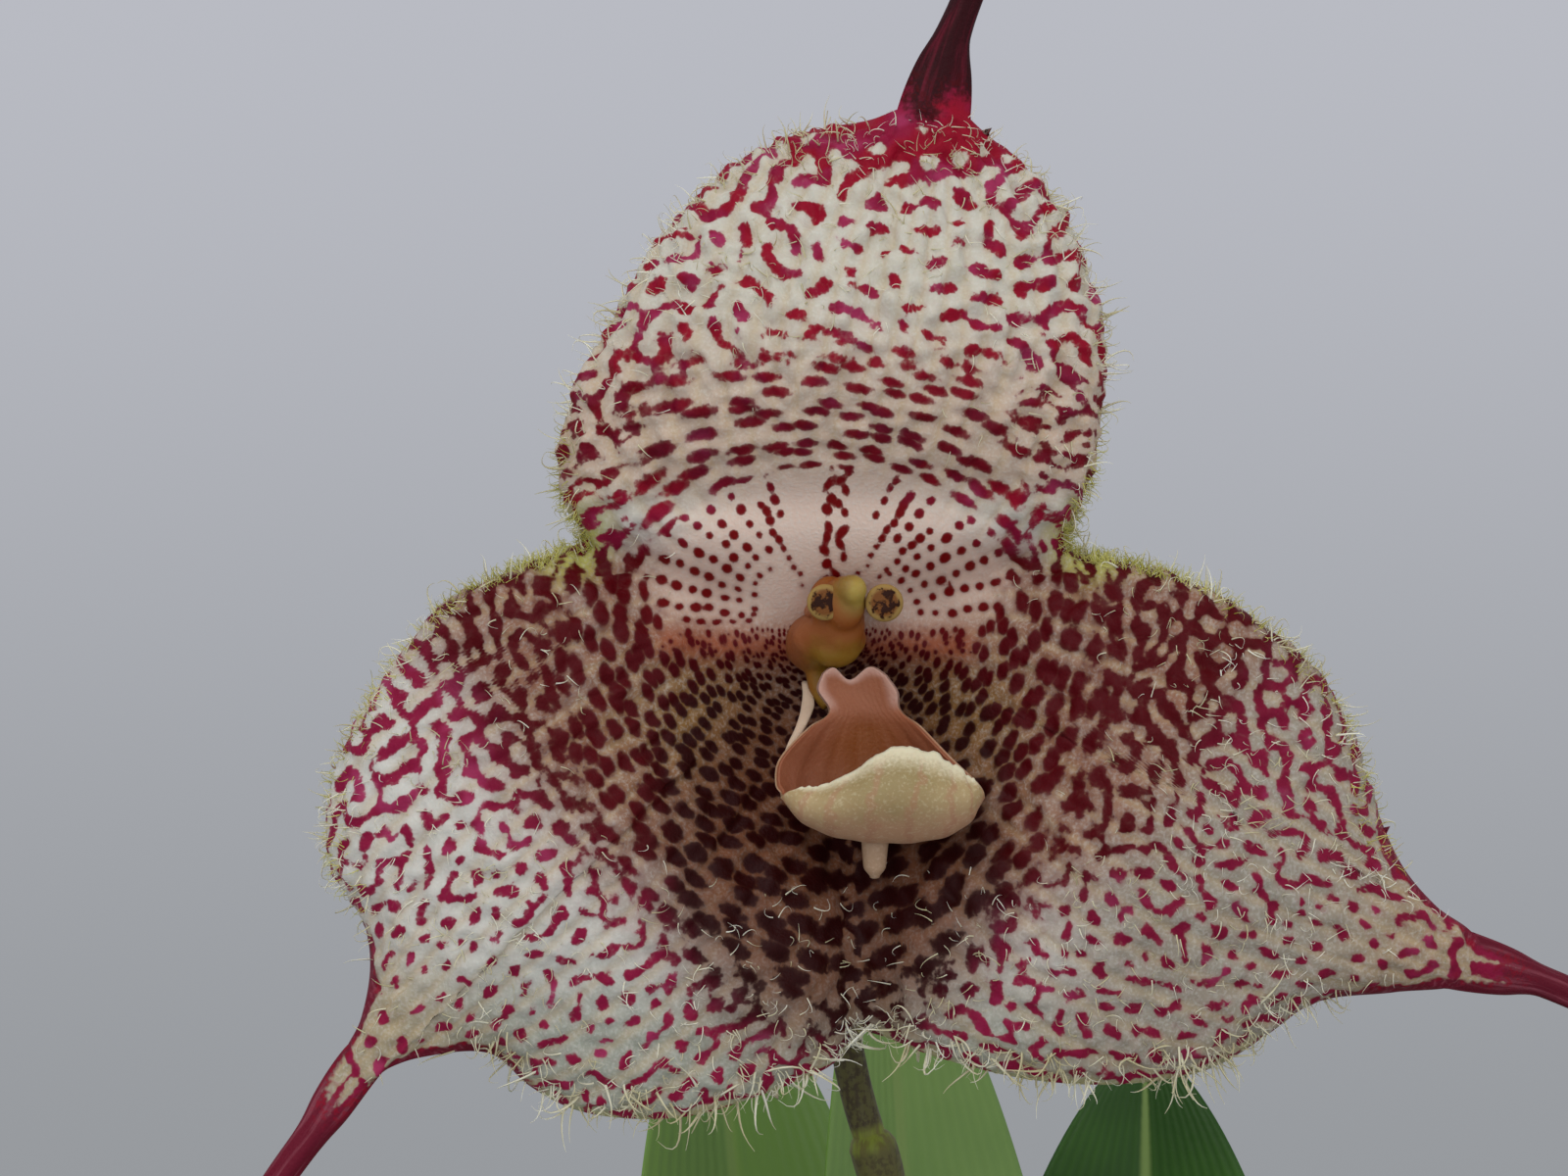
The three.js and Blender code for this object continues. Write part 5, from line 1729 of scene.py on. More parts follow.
    def build(self) -> bpy.types.Object:
        """Makes the lip.

        Returns:
            The piece.
        """
        skin = Skin("lip_flesh", Place.FLOWER)
        self.shell(skin)
        for path, wide, narrow, ear, down in ((self.claw, self.claw_radius, self.claw_radius, 0.6, 0.9),
                                              (self.strip, *self.strip_half, 0.6, 1.0),
                                              (self.tongue, *self.tongue_half, 0.5, 0.9)):
            points, _, _ = sections_along(Curve(path), np.linspace(0, 1, 30), lambda t: (
                mix(wide, narrow, t) * np.sqrt(1 - 0.8 * smooth(t, 0.8, 1)) * mix(0.4, 1.0, smooth(t, 0.0, 0.3)),
                narrow * np.sqrt(1 - 0.8 * smooth(t, 0.8, 1)), 0.0), 24)
            flat = np.zeros(points.shape[:2])
            skin.tube(points, across=flat + 0.5, down=flat + down, inside=flat, ear=flat + ear)
        return hand_in(skin.name, skin.mesh(), LipFinish(), "lip", "lip")


# The plant.


@dataclass(frozen=True)
class StalkFinish(Finish):
    """Dull green stalk, speckled with brown, with papery bracts."""

    name: str = "speckled_stalk"
    gloss: float = 0.4
    green: Colour = seen(80, 76, 34)
    brown: Colour = seen(58, 48, 22)
    joint: Colour = seen(116, 128, 40)
    paper: Colour = seen(96, 92, 36)

    def dress(self, graph: Graph, shader: bpy.types.Node) -> None:
        """Paints the stalk and its bracts.

        Args:
            graph: The material's graph.
            shader: Its shader.
        """
        here = graph.here()
        long = graph.stretched(here, (1.0, 1.0, 0.12))
        fibre, speck = graph.noise(long, 3200, 3), graph.noise(here, 2600, 3, 0.6)
        colour = graph.blend(graph.rise(speck + (fibre - 0.5) * 0.4, 0.42, 0.62), self.green, self.brown)
        paper = graph.blend(graph.rise(fibre, 0.35, 0.7), self.paper, self.joint)
        colour = graph.blend(graph.read("bract"), colour, paper)
        feed(graph, shader, colour, 0.4 + fibre * 0.3, fibre, 0.08)


@dataclass
class FlowerStalk:
    """The stalk, with its bracts, the thin pedicel and the ribbed ovary behind the cup."""

    path: Tuple[Triple, ...] = (
        (8, -9, 62), (8, -9, 74), (8.2, -10, 90), (6, -15.5, 140), (0.5, -21.5, 185), (-5.6, -26, 216),
        (-8.6, -27.8, 228.5), (-10.3, -28.2, 234.5), (-11.6, -28.4, 243), (-11.8, -30, 251),
        (-11.6, -34, 256.2), (-11.3, -39, 257.5),
    )
    bracts: Tuple[Tuple[float, float], ...] = ((0.3, 0.05), (0.58, 0.05), (0.808, 0.035))
    radius: float = 1.25
    pedicel: float = 1.0
    ovary: float = 1.9
    bract: float = 1.7
    cup_back: float = -35.4

    def girth(self, share: Array) -> Array:
        """Gives the stalk's radius at each share of its length."""
        radius = mix(self.radius, self.pedicel, smooth(share, 0.79, 0.84))
        for at, length in self.bracts:
            along = (share - at) / length
            grown = smooth(along, 0, 0.8) * (1 - smooth(along, 0.93, 1))
            radius = radius + (self.bract - self.radius) * grown
        return mix(radius, self.ovary, smooth(share, 0.89, 0.955))

    def build(self) -> bpy.types.Object:
        """Makes the piece.

        Returns:
            The stalk.
        """
        curve = Curve(self.path)
        whole = np.linspace(0, 1, 2000)
        last = whole[np.argmax((curve.at(whole)[:, 1] < self.cup_back) & (whole > 0.93))]
        shares = np.unique(np.concatenate([np.linspace(0, last, 420), *(
            (at + length * np.array([0.0, 0.001, 0.999, 1.0])) for at, length in self.bracts)]))
        skin = Skin("stalk_skin")
        points, along, _ = sections_along(
            curve, shares, lambda t: (self.girth(t), self.girth(t), 0.0), 28,
            flute=lambda t, angle: 1 + 0.07 * np.cos(6 * angle) * smooth(t, 0.9, 0.95) + 0.02 * np.cos(5 * angle + 60 * t))
        worn = np.zeros_like(along)
        for at, length in self.bracts:
            ended = 1 - smooth(along, at + 1.02 * length, at + 1.1 * length)
            shade = 0.15 * smooth(along, at, at + 0.6 * length)
            shade = shade + 0.85 * smooth(along, at + 0.84 * length, at + 0.93 * length)
            worn = np.maximum(worn, shade * ended)
        skin.tube(points, bract=worn)
        return hand_in(skin.name, skin.mesh(), StalkFinish(), "stalk", "flower_stalk")


@dataclass(frozen=True)
class LeafFinish(Finish):
    """Soft green blade with a pale midrib and fine veins, on a stem in a dry brown sheath."""

    name: str = "green_leaf"
    gloss: float = 0.32
    glow: float = 0.06
    glow_radius: Triple = (0.4, 0.8, 0.2)
    glow_scale: float = 0.001
    # Darker greens: a darker tone on some leaves, and painted shade on leaf_01.
    dark: Colour = seen(28, 64, 2)
    dark_light: Colour = seen(50, 90, 18)
    green: Colour = seen(84, 124, 32)
    light: Colour = seen(114, 148, 58)
    under: Colour = seen(110, 134, 78)
    rib: Colour = seen(118, 140, 74)
    paper: Colour = seen(140, 116, 78)
    paper_dark: Colour = seen(88, 64, 40)

    def dress(self, graph: Graph, shader: bpy.types.Node) -> None:
        """Paints the blade and its sheath.

        Args:
            graph: The material's graph.
            shader: Its shader.
        """
        here = graph.here()
        across, along, under = graph.read("across"), graph.read("along"), graph.read("under")
        broad, fine = graph.noise(here, 55, 3), graph.noise(here, 1400, 3)
        reach = graph.math("ABSOLUTE", across)
        veins = graph.math("SINE", across * 60 + broad * 2) * 0.5 + 0.5
        mottled = graph.rise(broad + veins * 0.06, 0.35, 0.68)
        # The darker greens are painted shade on leaf_01 and a darker tone on other leaves.
        colour = graph.blend(graph.read("fresh"), graph.blend(mottled, self.dark, self.dark_light),
                             graph.blend(mottled, self.green, self.light))
        colour = graph.blend(under * graph.read("fresh") * 0.6, colour, self.under)
        colour = graph.blend(graph.rise(reach, 0.09, 0.015) * 0.75, colour, self.rib)
        dry = graph.rise(along + (fine - 0.5) * 0.02, 0.235, 0.222)
        fibre = graph.noise(graph.stretched(here, (1.0, 1.0, 0.1)), 1500, 3)
        colour = graph.blend(dry, colour, graph.blend(graph.rise(fibre, 0.35, 0.65), self.paper_dark, self.paper))
        relief = veins * 0.25 + fine * 0.3 + graph.rise(reach, 0.0, 0.1) * 0.45 + dry * fibre
        feed(graph, shader, colour, 0.36 + fine * 0.18 + dry * 0.3, relief, 0.12)


@dataclass
class Leaves:
    """The tuft of strap leaves. Each has a foot, a tip, a bow to its side and a width."""

    entries: Tuple[Tuple[Tuple[float, float], Triple, Tuple[float, float], float], ...] = (
        ((7, 11), (12.5, 37, 230), (5, 9), 31),
        ((0, 4), (-8, 13, 243), (-2, 4), 27),
        ((-8, 9), (-20, 27, 238), (-4, 8), 29),
        ((-15, 3), (-70, 12, 190), (-7, 2), 29),
        ((15, 1), (69, -2, 186), (7, 0), 30),
        ((3, 18), (13, 72, 202), (1, 7), 29),
        ((-10, 16), (-46, 58, 195), (-4, 6), 28),
        ((14, 13), (53, 52, 184), (5, 5), 28),
        ((18, -8), (55, -40, 158), (6, -5), 27),
        ((-16, -10), (-48, -48, 150), (-6, -6), 27),
        ((0, -17), (9, -70, 136), (1, -8), 25),
        ((-17, -3), (-62, -22, 132), (-6, -2), 22),
        ((21, 5), (64, 30, 134), (6, 3), 23),
    )
    foot_depth: float = 62
    foot_radius: float = 1.5
    sheath: float = 2.3
    thickness: float = 1.1
    keel: float = 0.3
    blade_from: float = 0.36
    tip_blunt: float = 0.65
    tip_half: float = 0.5
    bends: int = 7
    spread: float = 1.7
    # How light each leaf's green is, by leaf. leaf_01's 0 is painted shade, the darker green of the leaf that lies in
    # shade; the others differ in tone.
    fresh: Tuple[float, ...] = (0.0, 1.0, 1.0, 0.5, 0.4, 0.3, 0.7, 0.25, 0.6, 0.45, 0.8, 0.35, 0.55)

    def curve(self, foot: Tuple[float, float], tip: Triple, bow: Tuple[float, float]) -> Curve:
        """Lays a leaf's middle line: straight out of its hole and then over in an arch.

        Args:
            foot: Where it stands in the moss.
            tip: Where its tip is.
            bow: How far its middle is pushed out.

        Returns:
            The line.
        """
        clear = self.foot_depth + 20
        rise = tip[2] - clear
        droop = mix(0.05, 0.62, float(smooth(math.hypot(tip[0] - foot[0], tip[1] - foot[1]) / rise, 0.25, 0.95)))
        points = [(*foot, self.foot_depth), (*foot, self.foot_depth + 9), (*foot, clear)]
        for i in range(1, self.bends + 1):
            s = i / self.bends
            out = s ** self.spread
            push = 0.3 * math.sin(math.pi * out)
            points.append((mix(foot[0], tip[0], out) + push * bow[0], mix(foot[1], tip[1], out) + push * bow[1],
                           clear + rise * ((1 + droop) * s - droop * s ** 3)))
        return Curve(points)

    def girth(self, share: Array, width: float) -> Tuple[Array, Array, Array]:
        """Gives a leaf's half width, half thickness and how far its edges are lifted.

        Args:
            share: Where on its length.
            width: Its greatest width.

        Returns:
            The three.
        """
        blade = np.clip((share - self.blade_from) / (1 - self.blade_from), 0, 1)
        outline = smooth(blade, -0.02, 0.62) * (1 - np.maximum(0, 2 * blade - 1) ** 2) ** self.tip_blunt
        half = np.maximum(mix(self.foot_radius, self.tip_half, smooth(share, 0.9, 1)), 0.5 * width * outline)
        flat = smooth(blade, 0, 0.14)
        swell = (self.sheath - self.foot_radius) * (1 - smooth(share, 0.2, 0.25))
        return half + swell, mix(self.foot_radius + swell, 0.5 * self.thickness, flat), \
            self.keel * (half - self.tip_half) * flat

    def build(self) -> List[bpy.types.Object]:
        """Makes the leaves.

        Returns:
            The pieces, one for each leaf.
        """
        made = []
        for number, (foot, tip, bow, width) in enumerate(self.entries, 1):
            away = unit(np.array([tip[0] - foot[0], tip[1] - foot[1], 0.0]))
            side = (-away[1], away[0], 0.01)
            step = np.linspace(0, 1, 110)
            points, along, angle = sections_along(
                self.curve(foot, tip, bow), 1 - (1 - step) ** 1.25, lambda t: self.girth(t, width), 36, side)
            skin = Skin(f"leaf_{number:02d}_blade")
            skin.tube(points, across=np.cos(angle), along=along, under=(np.sin(angle) > 0.02) * 1.0,
                      fresh=np.full(angle.shape, self.fresh[number - 1]))
            made.append(hand_in(skin.name, skin.mesh(), LeafFinish(), "leaf", f"leaf_{number:02d}"))
        return made


@dataclass(frozen=True)
class MediumFinish(Finish):
    """Dark damp bark and old moss."""

    name: str = "damp_medium"
    dark: Colour = seen(52, 40, 26)
    mossy: Colour = seen(96, 104, 44)

    def dress(self, graph: Graph, shader: bpy.types.Node) -> None:
        """Paints the medium.

        Args:
            graph: The material's graph.
            shader: Its shader.
        """
        here = graph.here()
        broad, fine = graph.noise(here, 120, 4), graph.noise(here, 900, 4, 0.65)
        colour = graph.blend(graph.rise(broad * 0.5 + fine * 0.5, 0.42, 0.6), self.dark, self.mossy)
        feed(graph, shader, colour, 0.75 + fine * 0.2, fine, 0.8)


@dataclass(frozen=True)
class ClayFinish(Finish):
    """Unglazed clay with faint turning lines and a few pale salt blooms."""

    name: str = "plain_clay"
    clay: Colour = seen(178, 108, 74)
    deep: Colour = seen(150, 84, 56)
    salt: Colour = seen(204, 178, 156)

    def dress(self, graph: Graph, shader: bpy.types.Node) -> None:
        """Paints the clay.

        Args:
            graph: The material's graph.
            shader: Its shader.
        """
        here = graph.here()
        broad, fine = graph.noise(here, 26, 4), graph.noise(here, 1100, 3, 0.6)
        turning = graph.noise(graph.stretched(here, (0.05, 0.05, 1.0)), 520, 3)
        parts = graph.node("ShaderNodeSeparateXYZ", None, {"Vector": here})
        up = Socket(graph, parts.outputs["Z"]) * 1000
        bloom = graph.rise(broad + fine * 0.12, 0.6, 0.72) * graph.rise(up, 10, 60)
        colour = graph.layers(
            self.deep, (graph.rise(broad + (turning - 0.5) * 0.4, 0.38, 0.66), self.clay),
            (bloom * 0.5, self.salt), (graph.rise(fine, 0.6, 0.8) * 0.2, self.deep))
        feed(graph, shader, colour, 0.78 + fine * 0.16, turning * 0.6 + fine * 0.4, 0.22)


@dataclass
class Pot:
    """The clay pot, turned, with a collar and four drain holes."""

    height: float = 82
    base: float = 35
    rim: float = 52
    rim_height: float = 17
    rim_step: float = 2.5
    wall: float = 4
    floor: float = 6
    drain: float = 4
    drain_circle: float = 20
    drains: int = 4
    sides: int = 144

    def outer(self, z: float) -> float:
        """Gives the outer radius below the collar."""
        return mix(self.base, self.rim - self.rim_step - 1, z / (self.height - self.rim_height))

    def inner(self, z: float) -> float:
        """Gives the inner radius."""
        return self.outer(min(z, self.height - self.rim_height)) - self.wall

    def profile(self) -> Array:
        """Gives the wall's outline, with every corner rounded.

        Returns:
            Radius and height pairs, from the middle of the base round to the middle of the floor.
        """
        collar, wide, tall = self.height - self.rim_height, self.inner(self.height), self.height
        corners = [(0.001, 0), (self.base - 1, 0), (self.base, 1), (self.outer(collar), collar),
                   (self.outer(collar) + self.rim_step, collar + 0.8), (self.rim, tall - 1.5),
                   (self.rim - 1.2, tall), (wide + 1.4, tall), (wide, tall - 2), (wide, collar),
                   (self.inner(self.floor), self.floor), (0.001, self.floor)]
        points = [corners[0]]
        for before, at, after in zip(corners, corners[1:], corners[2:]):
            a, b, c = (np.array(p, float) for p in (before, at, after))
            reach = min(0.9, 0.45 * np.linalg.norm(a - b), 0.45 * np.linalg.norm(c - b))
            start, end = b + reach * unit(a - b), b + reach * unit(c - b)
            points += [tuple((1 - t) ** 2 * start + 2 * t * (1 - t) * b + t * t * end) for t in np.linspace(0, 1, 6)]
        points.append(corners[-1])
        return np.array(points)

    def build(self) -> bpy.types.Object:
        """Makes the piece.

        Returns:
            The pot.
        """
        profile = self.profile()
        turn = 2 * np.pi * np.arange(self.sides) / self.sides
        points = np.stack([profile[:, :1] * np.cos(turn), profile[:, :1] * np.sin(turn),
                           profile[:, 1:] + 0 * turn], -1)
        skin = Skin("clay_pot")
        skin.tube(points)
        piece = place_object(skin.name, skin.mesh(1.0))
        cutters = Skin("drains")
        for k in range(self.drains):
            spin = 2 * np.pi * (k + 0.5) / self.drains
            x, y = self.drain_circle * math.cos(spin), self.drain_circle * math.sin(spin)
            ring = np.stack([x + self.drain * np.cos(turn[::3]), y + self.drain * np.sin(turn[::3])], -1)
            rows = np.stack([np.column_stack([ring, np.full(len(ring), z)]) for z in (-4.0, self.floor + 4)])
            cutters.tube(rows)
        cutter = place_object(cutters.name, cutters.mesh(1.0))
        cut = piece.modifiers.new("drains", "BOOLEAN")
        cut.operation, cut.object, cut.solver = "DIFFERENCE", cutter, "EXACT"
        mesh = baked(piece, MM)
        bpy.data.objects.remove(cutter)
        mesh.set_sharp_from_angle(angle=math.radians(40))
        return hand_in(skin.name, mesh, ClayFinish(), "clay", "pot")


@dataclass
class Medium:
    """The low mound of moss and bark."""

    edge: float = 70
    mound: float = 7
    bump: float = 1.2
    gap: float = 0.3

    def height(self, x: Array, y: Array, reach: float) -> Array:
        """Gives the mound's height.

        Args:
            x: Across.
            y: Back.
            reach: The mound's radius.

        Returns:
            The height, in millimetres.
        """
        broad = np.sin(x * 0.33 + 1) * np.cos(y * 0.29 - 0.6)
        lumps = broad + 0.6 * np.sin(x * 0.61 - y * 0.53)
        inside = np.clip(1 - (np.hypot(x, y) / reach) ** 2, 0, 1)
        return self.edge + self.mound * inside + self.bump * lumps * smooth(inside, 0.0, 0.12)

    def build(self, pot: Pot) -> bpy.types.Object:
        """Makes the piece.

        Args:
            pot: The pot that it fills.

        Returns:
            The mound.
        """
        reach, low = pot.inner(self.edge) - self.gap, pot.floor + self.gap
        turn = 2 * np.pi * np.arange(120) / 120
        rings = [(pot.inner(low) - self.gap, low), *((pot.inner(z) - self.gap, z) for z in np.linspace(12, 69.5, 12))]
        sections = [np.column_stack([r * np.cos(turn), r * np.sin(turn), np.full(120, z)]) for r, z in rings]
        for share in np.linspace(1.0, 0.02, 40):
            x, y = share * reach * np.cos(turn), share * reach * np.sin(turn)
            sections.append(np.column_stack([x, y, self.height(x, y, reach)]))
        skin = Skin("medium_mound")
        skin.tube(np.stack(sections))
        return hand_in(skin.name, skin.mesh(), MediumFinish(), "medium", "growing_medium")


# Hairs and moss.


@dataclass(frozen=True)
class HairFinish(Finish):
    """Pale, waxy hair."""

    name: str = "pale_hair"
    glow: float = 0.25
    glow_radius: Triple = (0.3, 0.28, 0.15)
    glow_scale: float = 0.0003
    root: Colour = seen(188, 180, 140)
    pale: Colour = seen(226, 223, 200)

    def dress(self, graph: Graph, shader: bpy.types.Node) -> None:
        """Paints the hair.

        Args:
            graph: The material's graph.
            shader: Its shader.
        """
        here = graph.here()
        broad = graph.noise(here, 260, 2)
        feed(graph, shader, graph.blend(graph.rise(broad, 0.35, 0.65), self.root, self.pale), 0.3 + broad * 0.2)


@dataclass(frozen=True)
class FuzzFinish(HairFinish):
    """Yellow-green fuzz."""

    name: str = "yellow_fuzz"
    root: Colour = seen(160, 156, 62)
    pale: Colour = seen(206, 202, 116)


@dataclass(frozen=True)
class MossFinish(HairFinish):
    """Moss, dark green, paler and yellower here and there."""

    name: str = "moss_blade"
    gloss: float = 0.3
    glow: float = 0.0
    root: Colour = seen(78, 96, 34)
    pale: Colour = seen(142, 150, 66)


@dataclass
class Bristles:
    """Fine tapered hairs that a node tree grows from a cloud of roots.

    Every root has a direction, a length and a turn. The hair is one of a few curled shapes.
    """

    name: str
    width: float
    steps: int
    curls: Tuple[Tuple[Triple, Triple], ...]
    tip: float = 0.14
    seed: int = 3

    def tree(self) -> Tuple[bpy.types.NodeTree, Dict[str, str]]:
        """Builds the tree.

        Returns:
            The tree, and the identifiers of its inputs by name.
        """
        tree = bpy.data.node_groups.new(self.name, "GeometryNodeTree")
        known = {}
        for label, kind in (("Roots", "Geometry"), ("Width", "Float"), ("Steps", "Int"), ("Tip", "Float"),
                            ("Finish", "Material")):
            socket = tree.interface.new_socket(name=label, in_out="INPUT", socket_type=f"NodeSocket{kind}")
            known[label] = socket.identifier
        tree.interface.new_socket(name="Bristles", in_out="OUTPUT", socket_type="NodeSocketGeometry")
        graph = Graph(tree)
        given = graph.node("NodeGroupInput")
        take = {label: Socket(graph, given.outputs[label]) for label in known}
        profile = graph.value("GeometryNodeCurvePrimitiveCircle", None, {"Resolution": 3, "Radius": take["Width"]})
        along = graph.value("GeometryNodeSplineParameter", None, None, "Factor")
        taper = 1 - along * (1 - take["Tip"])
        shapes = graph.node("GeometryNodeJoinGeometry")
        for handle, end in self.curls:
            curve = graph.value("GeometryNodeCurvePrimitiveBezierSegment", None, {
                "Resolution": take["Steps"], "Start": (0.0, 0.0, 0.0), "Start Handle": (0.0, 0.0, 0.4),
                "End Handle": handle, "End": end})
            hair = graph.value("GeometryNodeCurveToMesh", None, {
                "Curve": curve, "Profile Curve": profile, "Scale": taper, "Fill Caps": True})
            one = graph.value("GeometryNodeGeometryToInstance", None, {"Geometry": hair})
            tree.links.new(one.socket, shapes.inputs[0])
        read = {name: graph.value("GeometryNodeInputNamedAttribute", {"data_type": kind}, {"Name": name}, "Attribute")
                for name, kind in (("grow", "FLOAT_VECTOR"), ("size", "FLOAT"), ("turn", "FLOAT"))}
        aimed = graph.value("FunctionNodeAlignRotationToVector", {"axis": "Z"}, {"Vector": read["grow"]})
        spin = graph.value("FunctionNodeAxisAngleToRotation", None, {"Axis": (0.0, 0.0, 1.0), "Angle": read["turn"]})
        aimed = graph.value("FunctionNodeRotateRotation", {"rotation_space": "LOCAL"},
                            {"Rotation": aimed, "Rotate By": spin})
        pick = graph.value("FunctionNodeRandomValue", {"data_type": "INT"},
                           {"Min_002": 0, "Max_002": len(self.curls) - 1, "Seed": self.seed}, "Value_002")
        grown = graph.value("GeometryNodeInstanceOnPoints", None, {
            "Points": take["Roots"], "Instance": Socket(graph, shapes.outputs[0]), "Pick Instance": True,
            "Instance Index": pick, "Rotation": aimed, "Scale": read["size"]})
        grown = graph.value("GeometryNodeRealizeInstances", None, {"Geometry": grown})
        grown = graph.value("GeometryNodeSetShadeSmooth", None, {"Geometry": grown})
        grown = graph.value("GeometryNodeSetMaterial", None, {"Geometry": grown, "Material": take["Finish"]})
        graph.node("NodeGroupOutput", None, {"Bristles": grown})
        return tree, known

    def build(self, roots: Array, grow: Array, size: Array, turn: Array, finish: Finish, slot: str,
              place: Place) -> bpy.types.Object:
        """Grows the piece.

        Args:
            roots: Where the hairs start, in millimetres.
            grow: Their directions.
            size: Their lengths, in millimetres.
            turn: Their turns, in radians.
            finish: Their finish.
            slot: The record's slot.
            place: The frame that roots and directions are given in.

        Returns:
            The piece.
        """
        origin = to_world(np.zeros((1, 3)), place)
        cloud = Skin(self.name)
        cloud.add(to_world(roots, place), grow=to_world(grow, place) - origin, size=size * MM, turn=turn)
        piece = place_object(self.name, cloud.mesh())
        tree, known = self.tree()
        grower = piece.modifiers.new("grower", "NODES")
        grower.node_group = tree
        for label, value in (("Width", self.width), ("Steps", self.steps), ("Tip", self.tip),
                             ("Finish", finish.material())):
            grower[known[label]] = value
        mesh = baked(piece)
        if signed_volume(mesh) < 0:
            mesh.flip_normals()
        return hand_in(self.name, mesh, finish, slot)


def signed_volume(mesh: bpy.types.Mesh) -> float:
    """Gives a mesh's volume, which is negative where its faces point inwards."""
    mesh.calc_loop_triangles()
    corners = np.empty(3 * len(mesh.loop_triangles), np.int32)
    mesh.loop_triangles.foreach_get("vertices", corners)
    a, b, c = points_of(mesh)[corners.reshape(-1, 3)].transpose(1, 0, 2)
    return float(np.einsum("ij,ij->i", a, np.cross(b, c)).sum())


HAIR_CURLS = (
    ((0.0, 0.1, 0.85), (0.25, 0.05, 1.0)),
    ((0.15, 0.0, 1.05), (0.6, 0.1, 0.75)),
    ((0.2, 0.1, 1.2), (0.6, 0.15, 0.42)),
    ((-0.2, 0.1, 0.75), (-0.42, 0.0, 1.0)),
    ((0.35, 0.2, 1.15), (0.72, -0.15, 0.55)),
    ((-0.1, -0.1, 0.6), (0.12, 0.1, 1.15)),
)
MOSS_CURLS = (
    ((0.05, 0.0, 0.7), (0.2, 0.0, 1.0)),
    ((0.1, 0.1, 0.8), (0.5, 0.1, 0.85)),
    ((-0.1, 0.0, 0.7), (-0.3, 0.15, 0.9)),
)


@dataclass
class SepalHairs:
    """The hairs round the sepals' margin and over their face, and the fuzz in the two upper notches."""

    shape: SepalShape
    margin_count: int = 1500
    face_count: int = 1900
    fuzz_count: int = 1500
    seed: int = 23

    def grow(self, name: str, share: Array, r: Array, lie: float, size: Array, finish: Finish,
             rng: np.random.Generator, hang: float = 0.0) -> bpy.types.Object:
        """Grows one kind of hair.

        Args:
            name: The piece's name.
            share: Where on the margin their rays end.
            r: How far out they stand.
            lie: How far they lean from the skin's direction.
            size: Their lengths, in millimetres.
            finish: Their finish.
            rng: The source of chance.
            hang: How far they are drawn down.

        Returns:
            The piece.
        """
        points, _ = self.shape.point(share, r)
        normal = self.shape.normal(share, r)
        lean = rng.normal(0, 1, points.shape)
        grow = unit(normal + lie * lean + np.array([0.0, -hang, 0.0]))
        grow = unit(grow + np.maximum(0, 0.25 - np.sum(grow * normal, -1))[:, None] * normal)
        bristles = Bristles(name, 0.045, 7, HAIR_CURLS)
        return bristles.build(points - 0.12 * normal, grow, size + 0.1, rng.uniform(0, 2 * np.pi, len(share)),
                              finish, "sepal", Place.FLOWER)

    def build(self) -> List[bpy.types.Object]:
        """Grows all the hairs.

        Returns:
            The pieces.
        """
        rng = np.random.default_rng(self.seed)
        share = rng.uniform(0, 1, self.margin_count)
        edge = self.shape.margin.at(share)[:, :2]
        bare = np.min([smooth(np.linalg.norm(edge - np.array(lobe.root), axis=1), *lobe.bare) for lobe in LOBES],
                      axis=0)
        kept = rng.uniform(size=len(share)) < 0.04 + bare
        share, edge = share[kept], edge[kept]
        low = smooth(-edge[:, 1], 18, 24)
        size = (0.5 + 1.3 * rng.uniform(0, 1, len(share)) ** 1.7) * (1 + 0.5 * low)
        made = [self.grow("margin_hairs", share, 1 - 0.14 * rng.uniform(0, 1, len(share)) ** 1.2, 0.55, size,
                          HairFinish(), rng, 0.15)]
        share, r = rng.uniform(0, 1, 9 * self.face_count), np.sqrt(rng.uniform(0.1, 0.9, 9 * self.face_count))
        flat = self.shape.point(share, r)[1]
        x, y = flat[:, 0], flat[:, 1]
        wanted = 0.15 + 0.85 * smooth(np.hypot(x, y), 12, 24) + 0.5 * smooth(y, 12, 22)
        wanted = wanted * (1 - 0.75 * np.exp(-(((x - 4) / 5) ** 2) - ((y - 19) / 6) ** 2)) * smooth(r, 0.35, 0.6)
        for lobe in LOBES[1:]:
            wanted = wanted * (0.1 + 0.9 * smooth(np.hypot(*lobe.from_root(x, y, 1.0)), 4, 11))
        reach = np.linalg.norm(self.shape.margin.at(share)[:, :2], axis=1)
        kept = np.flatnonzero(rng.uniform(0, 1.35 * 37 ** 2, len(share)) < wanted * reach ** 2)[:self.face_count]
        made.append(self.grow("face_hairs", share[kept], r[kept], 0.75, rng.uniform(0.6, 1.25, len(kept)),
                              HairFinish(), rng, 0.2))
        notch = [np.argmin(np.hypot(*(self.shape.margin.table[:, :2] - at).T)) / (len(self.shape.margin.table) - 1)
                 for at in ((-15.0, 4.6), (14.9, 4.4))]
        centre = np.where(rng.uniform(size=self.fuzz_count) < 0.5, *notch)
        share = (centre + rng.normal(0, 0.016, self.fuzz_count)) % 1.0
        away = rng.uniform(0, 1, self.fuzz_count) < 0.42
        along = rng.uniform(0.0, 0.13, self.fuzz_count)
        share = np.where(away, (centre + np.where(centre == notch[0], along, -along)) % 1.0, share)
        made.append(self.grow("notch_fuzz", share, 1 - 0.14 * rng.uniform(0, 1, len(share)), 0.5,
                              rng.uniform(0.4, 0.9, len(share)), FuzzFinish(), rng))
        return made


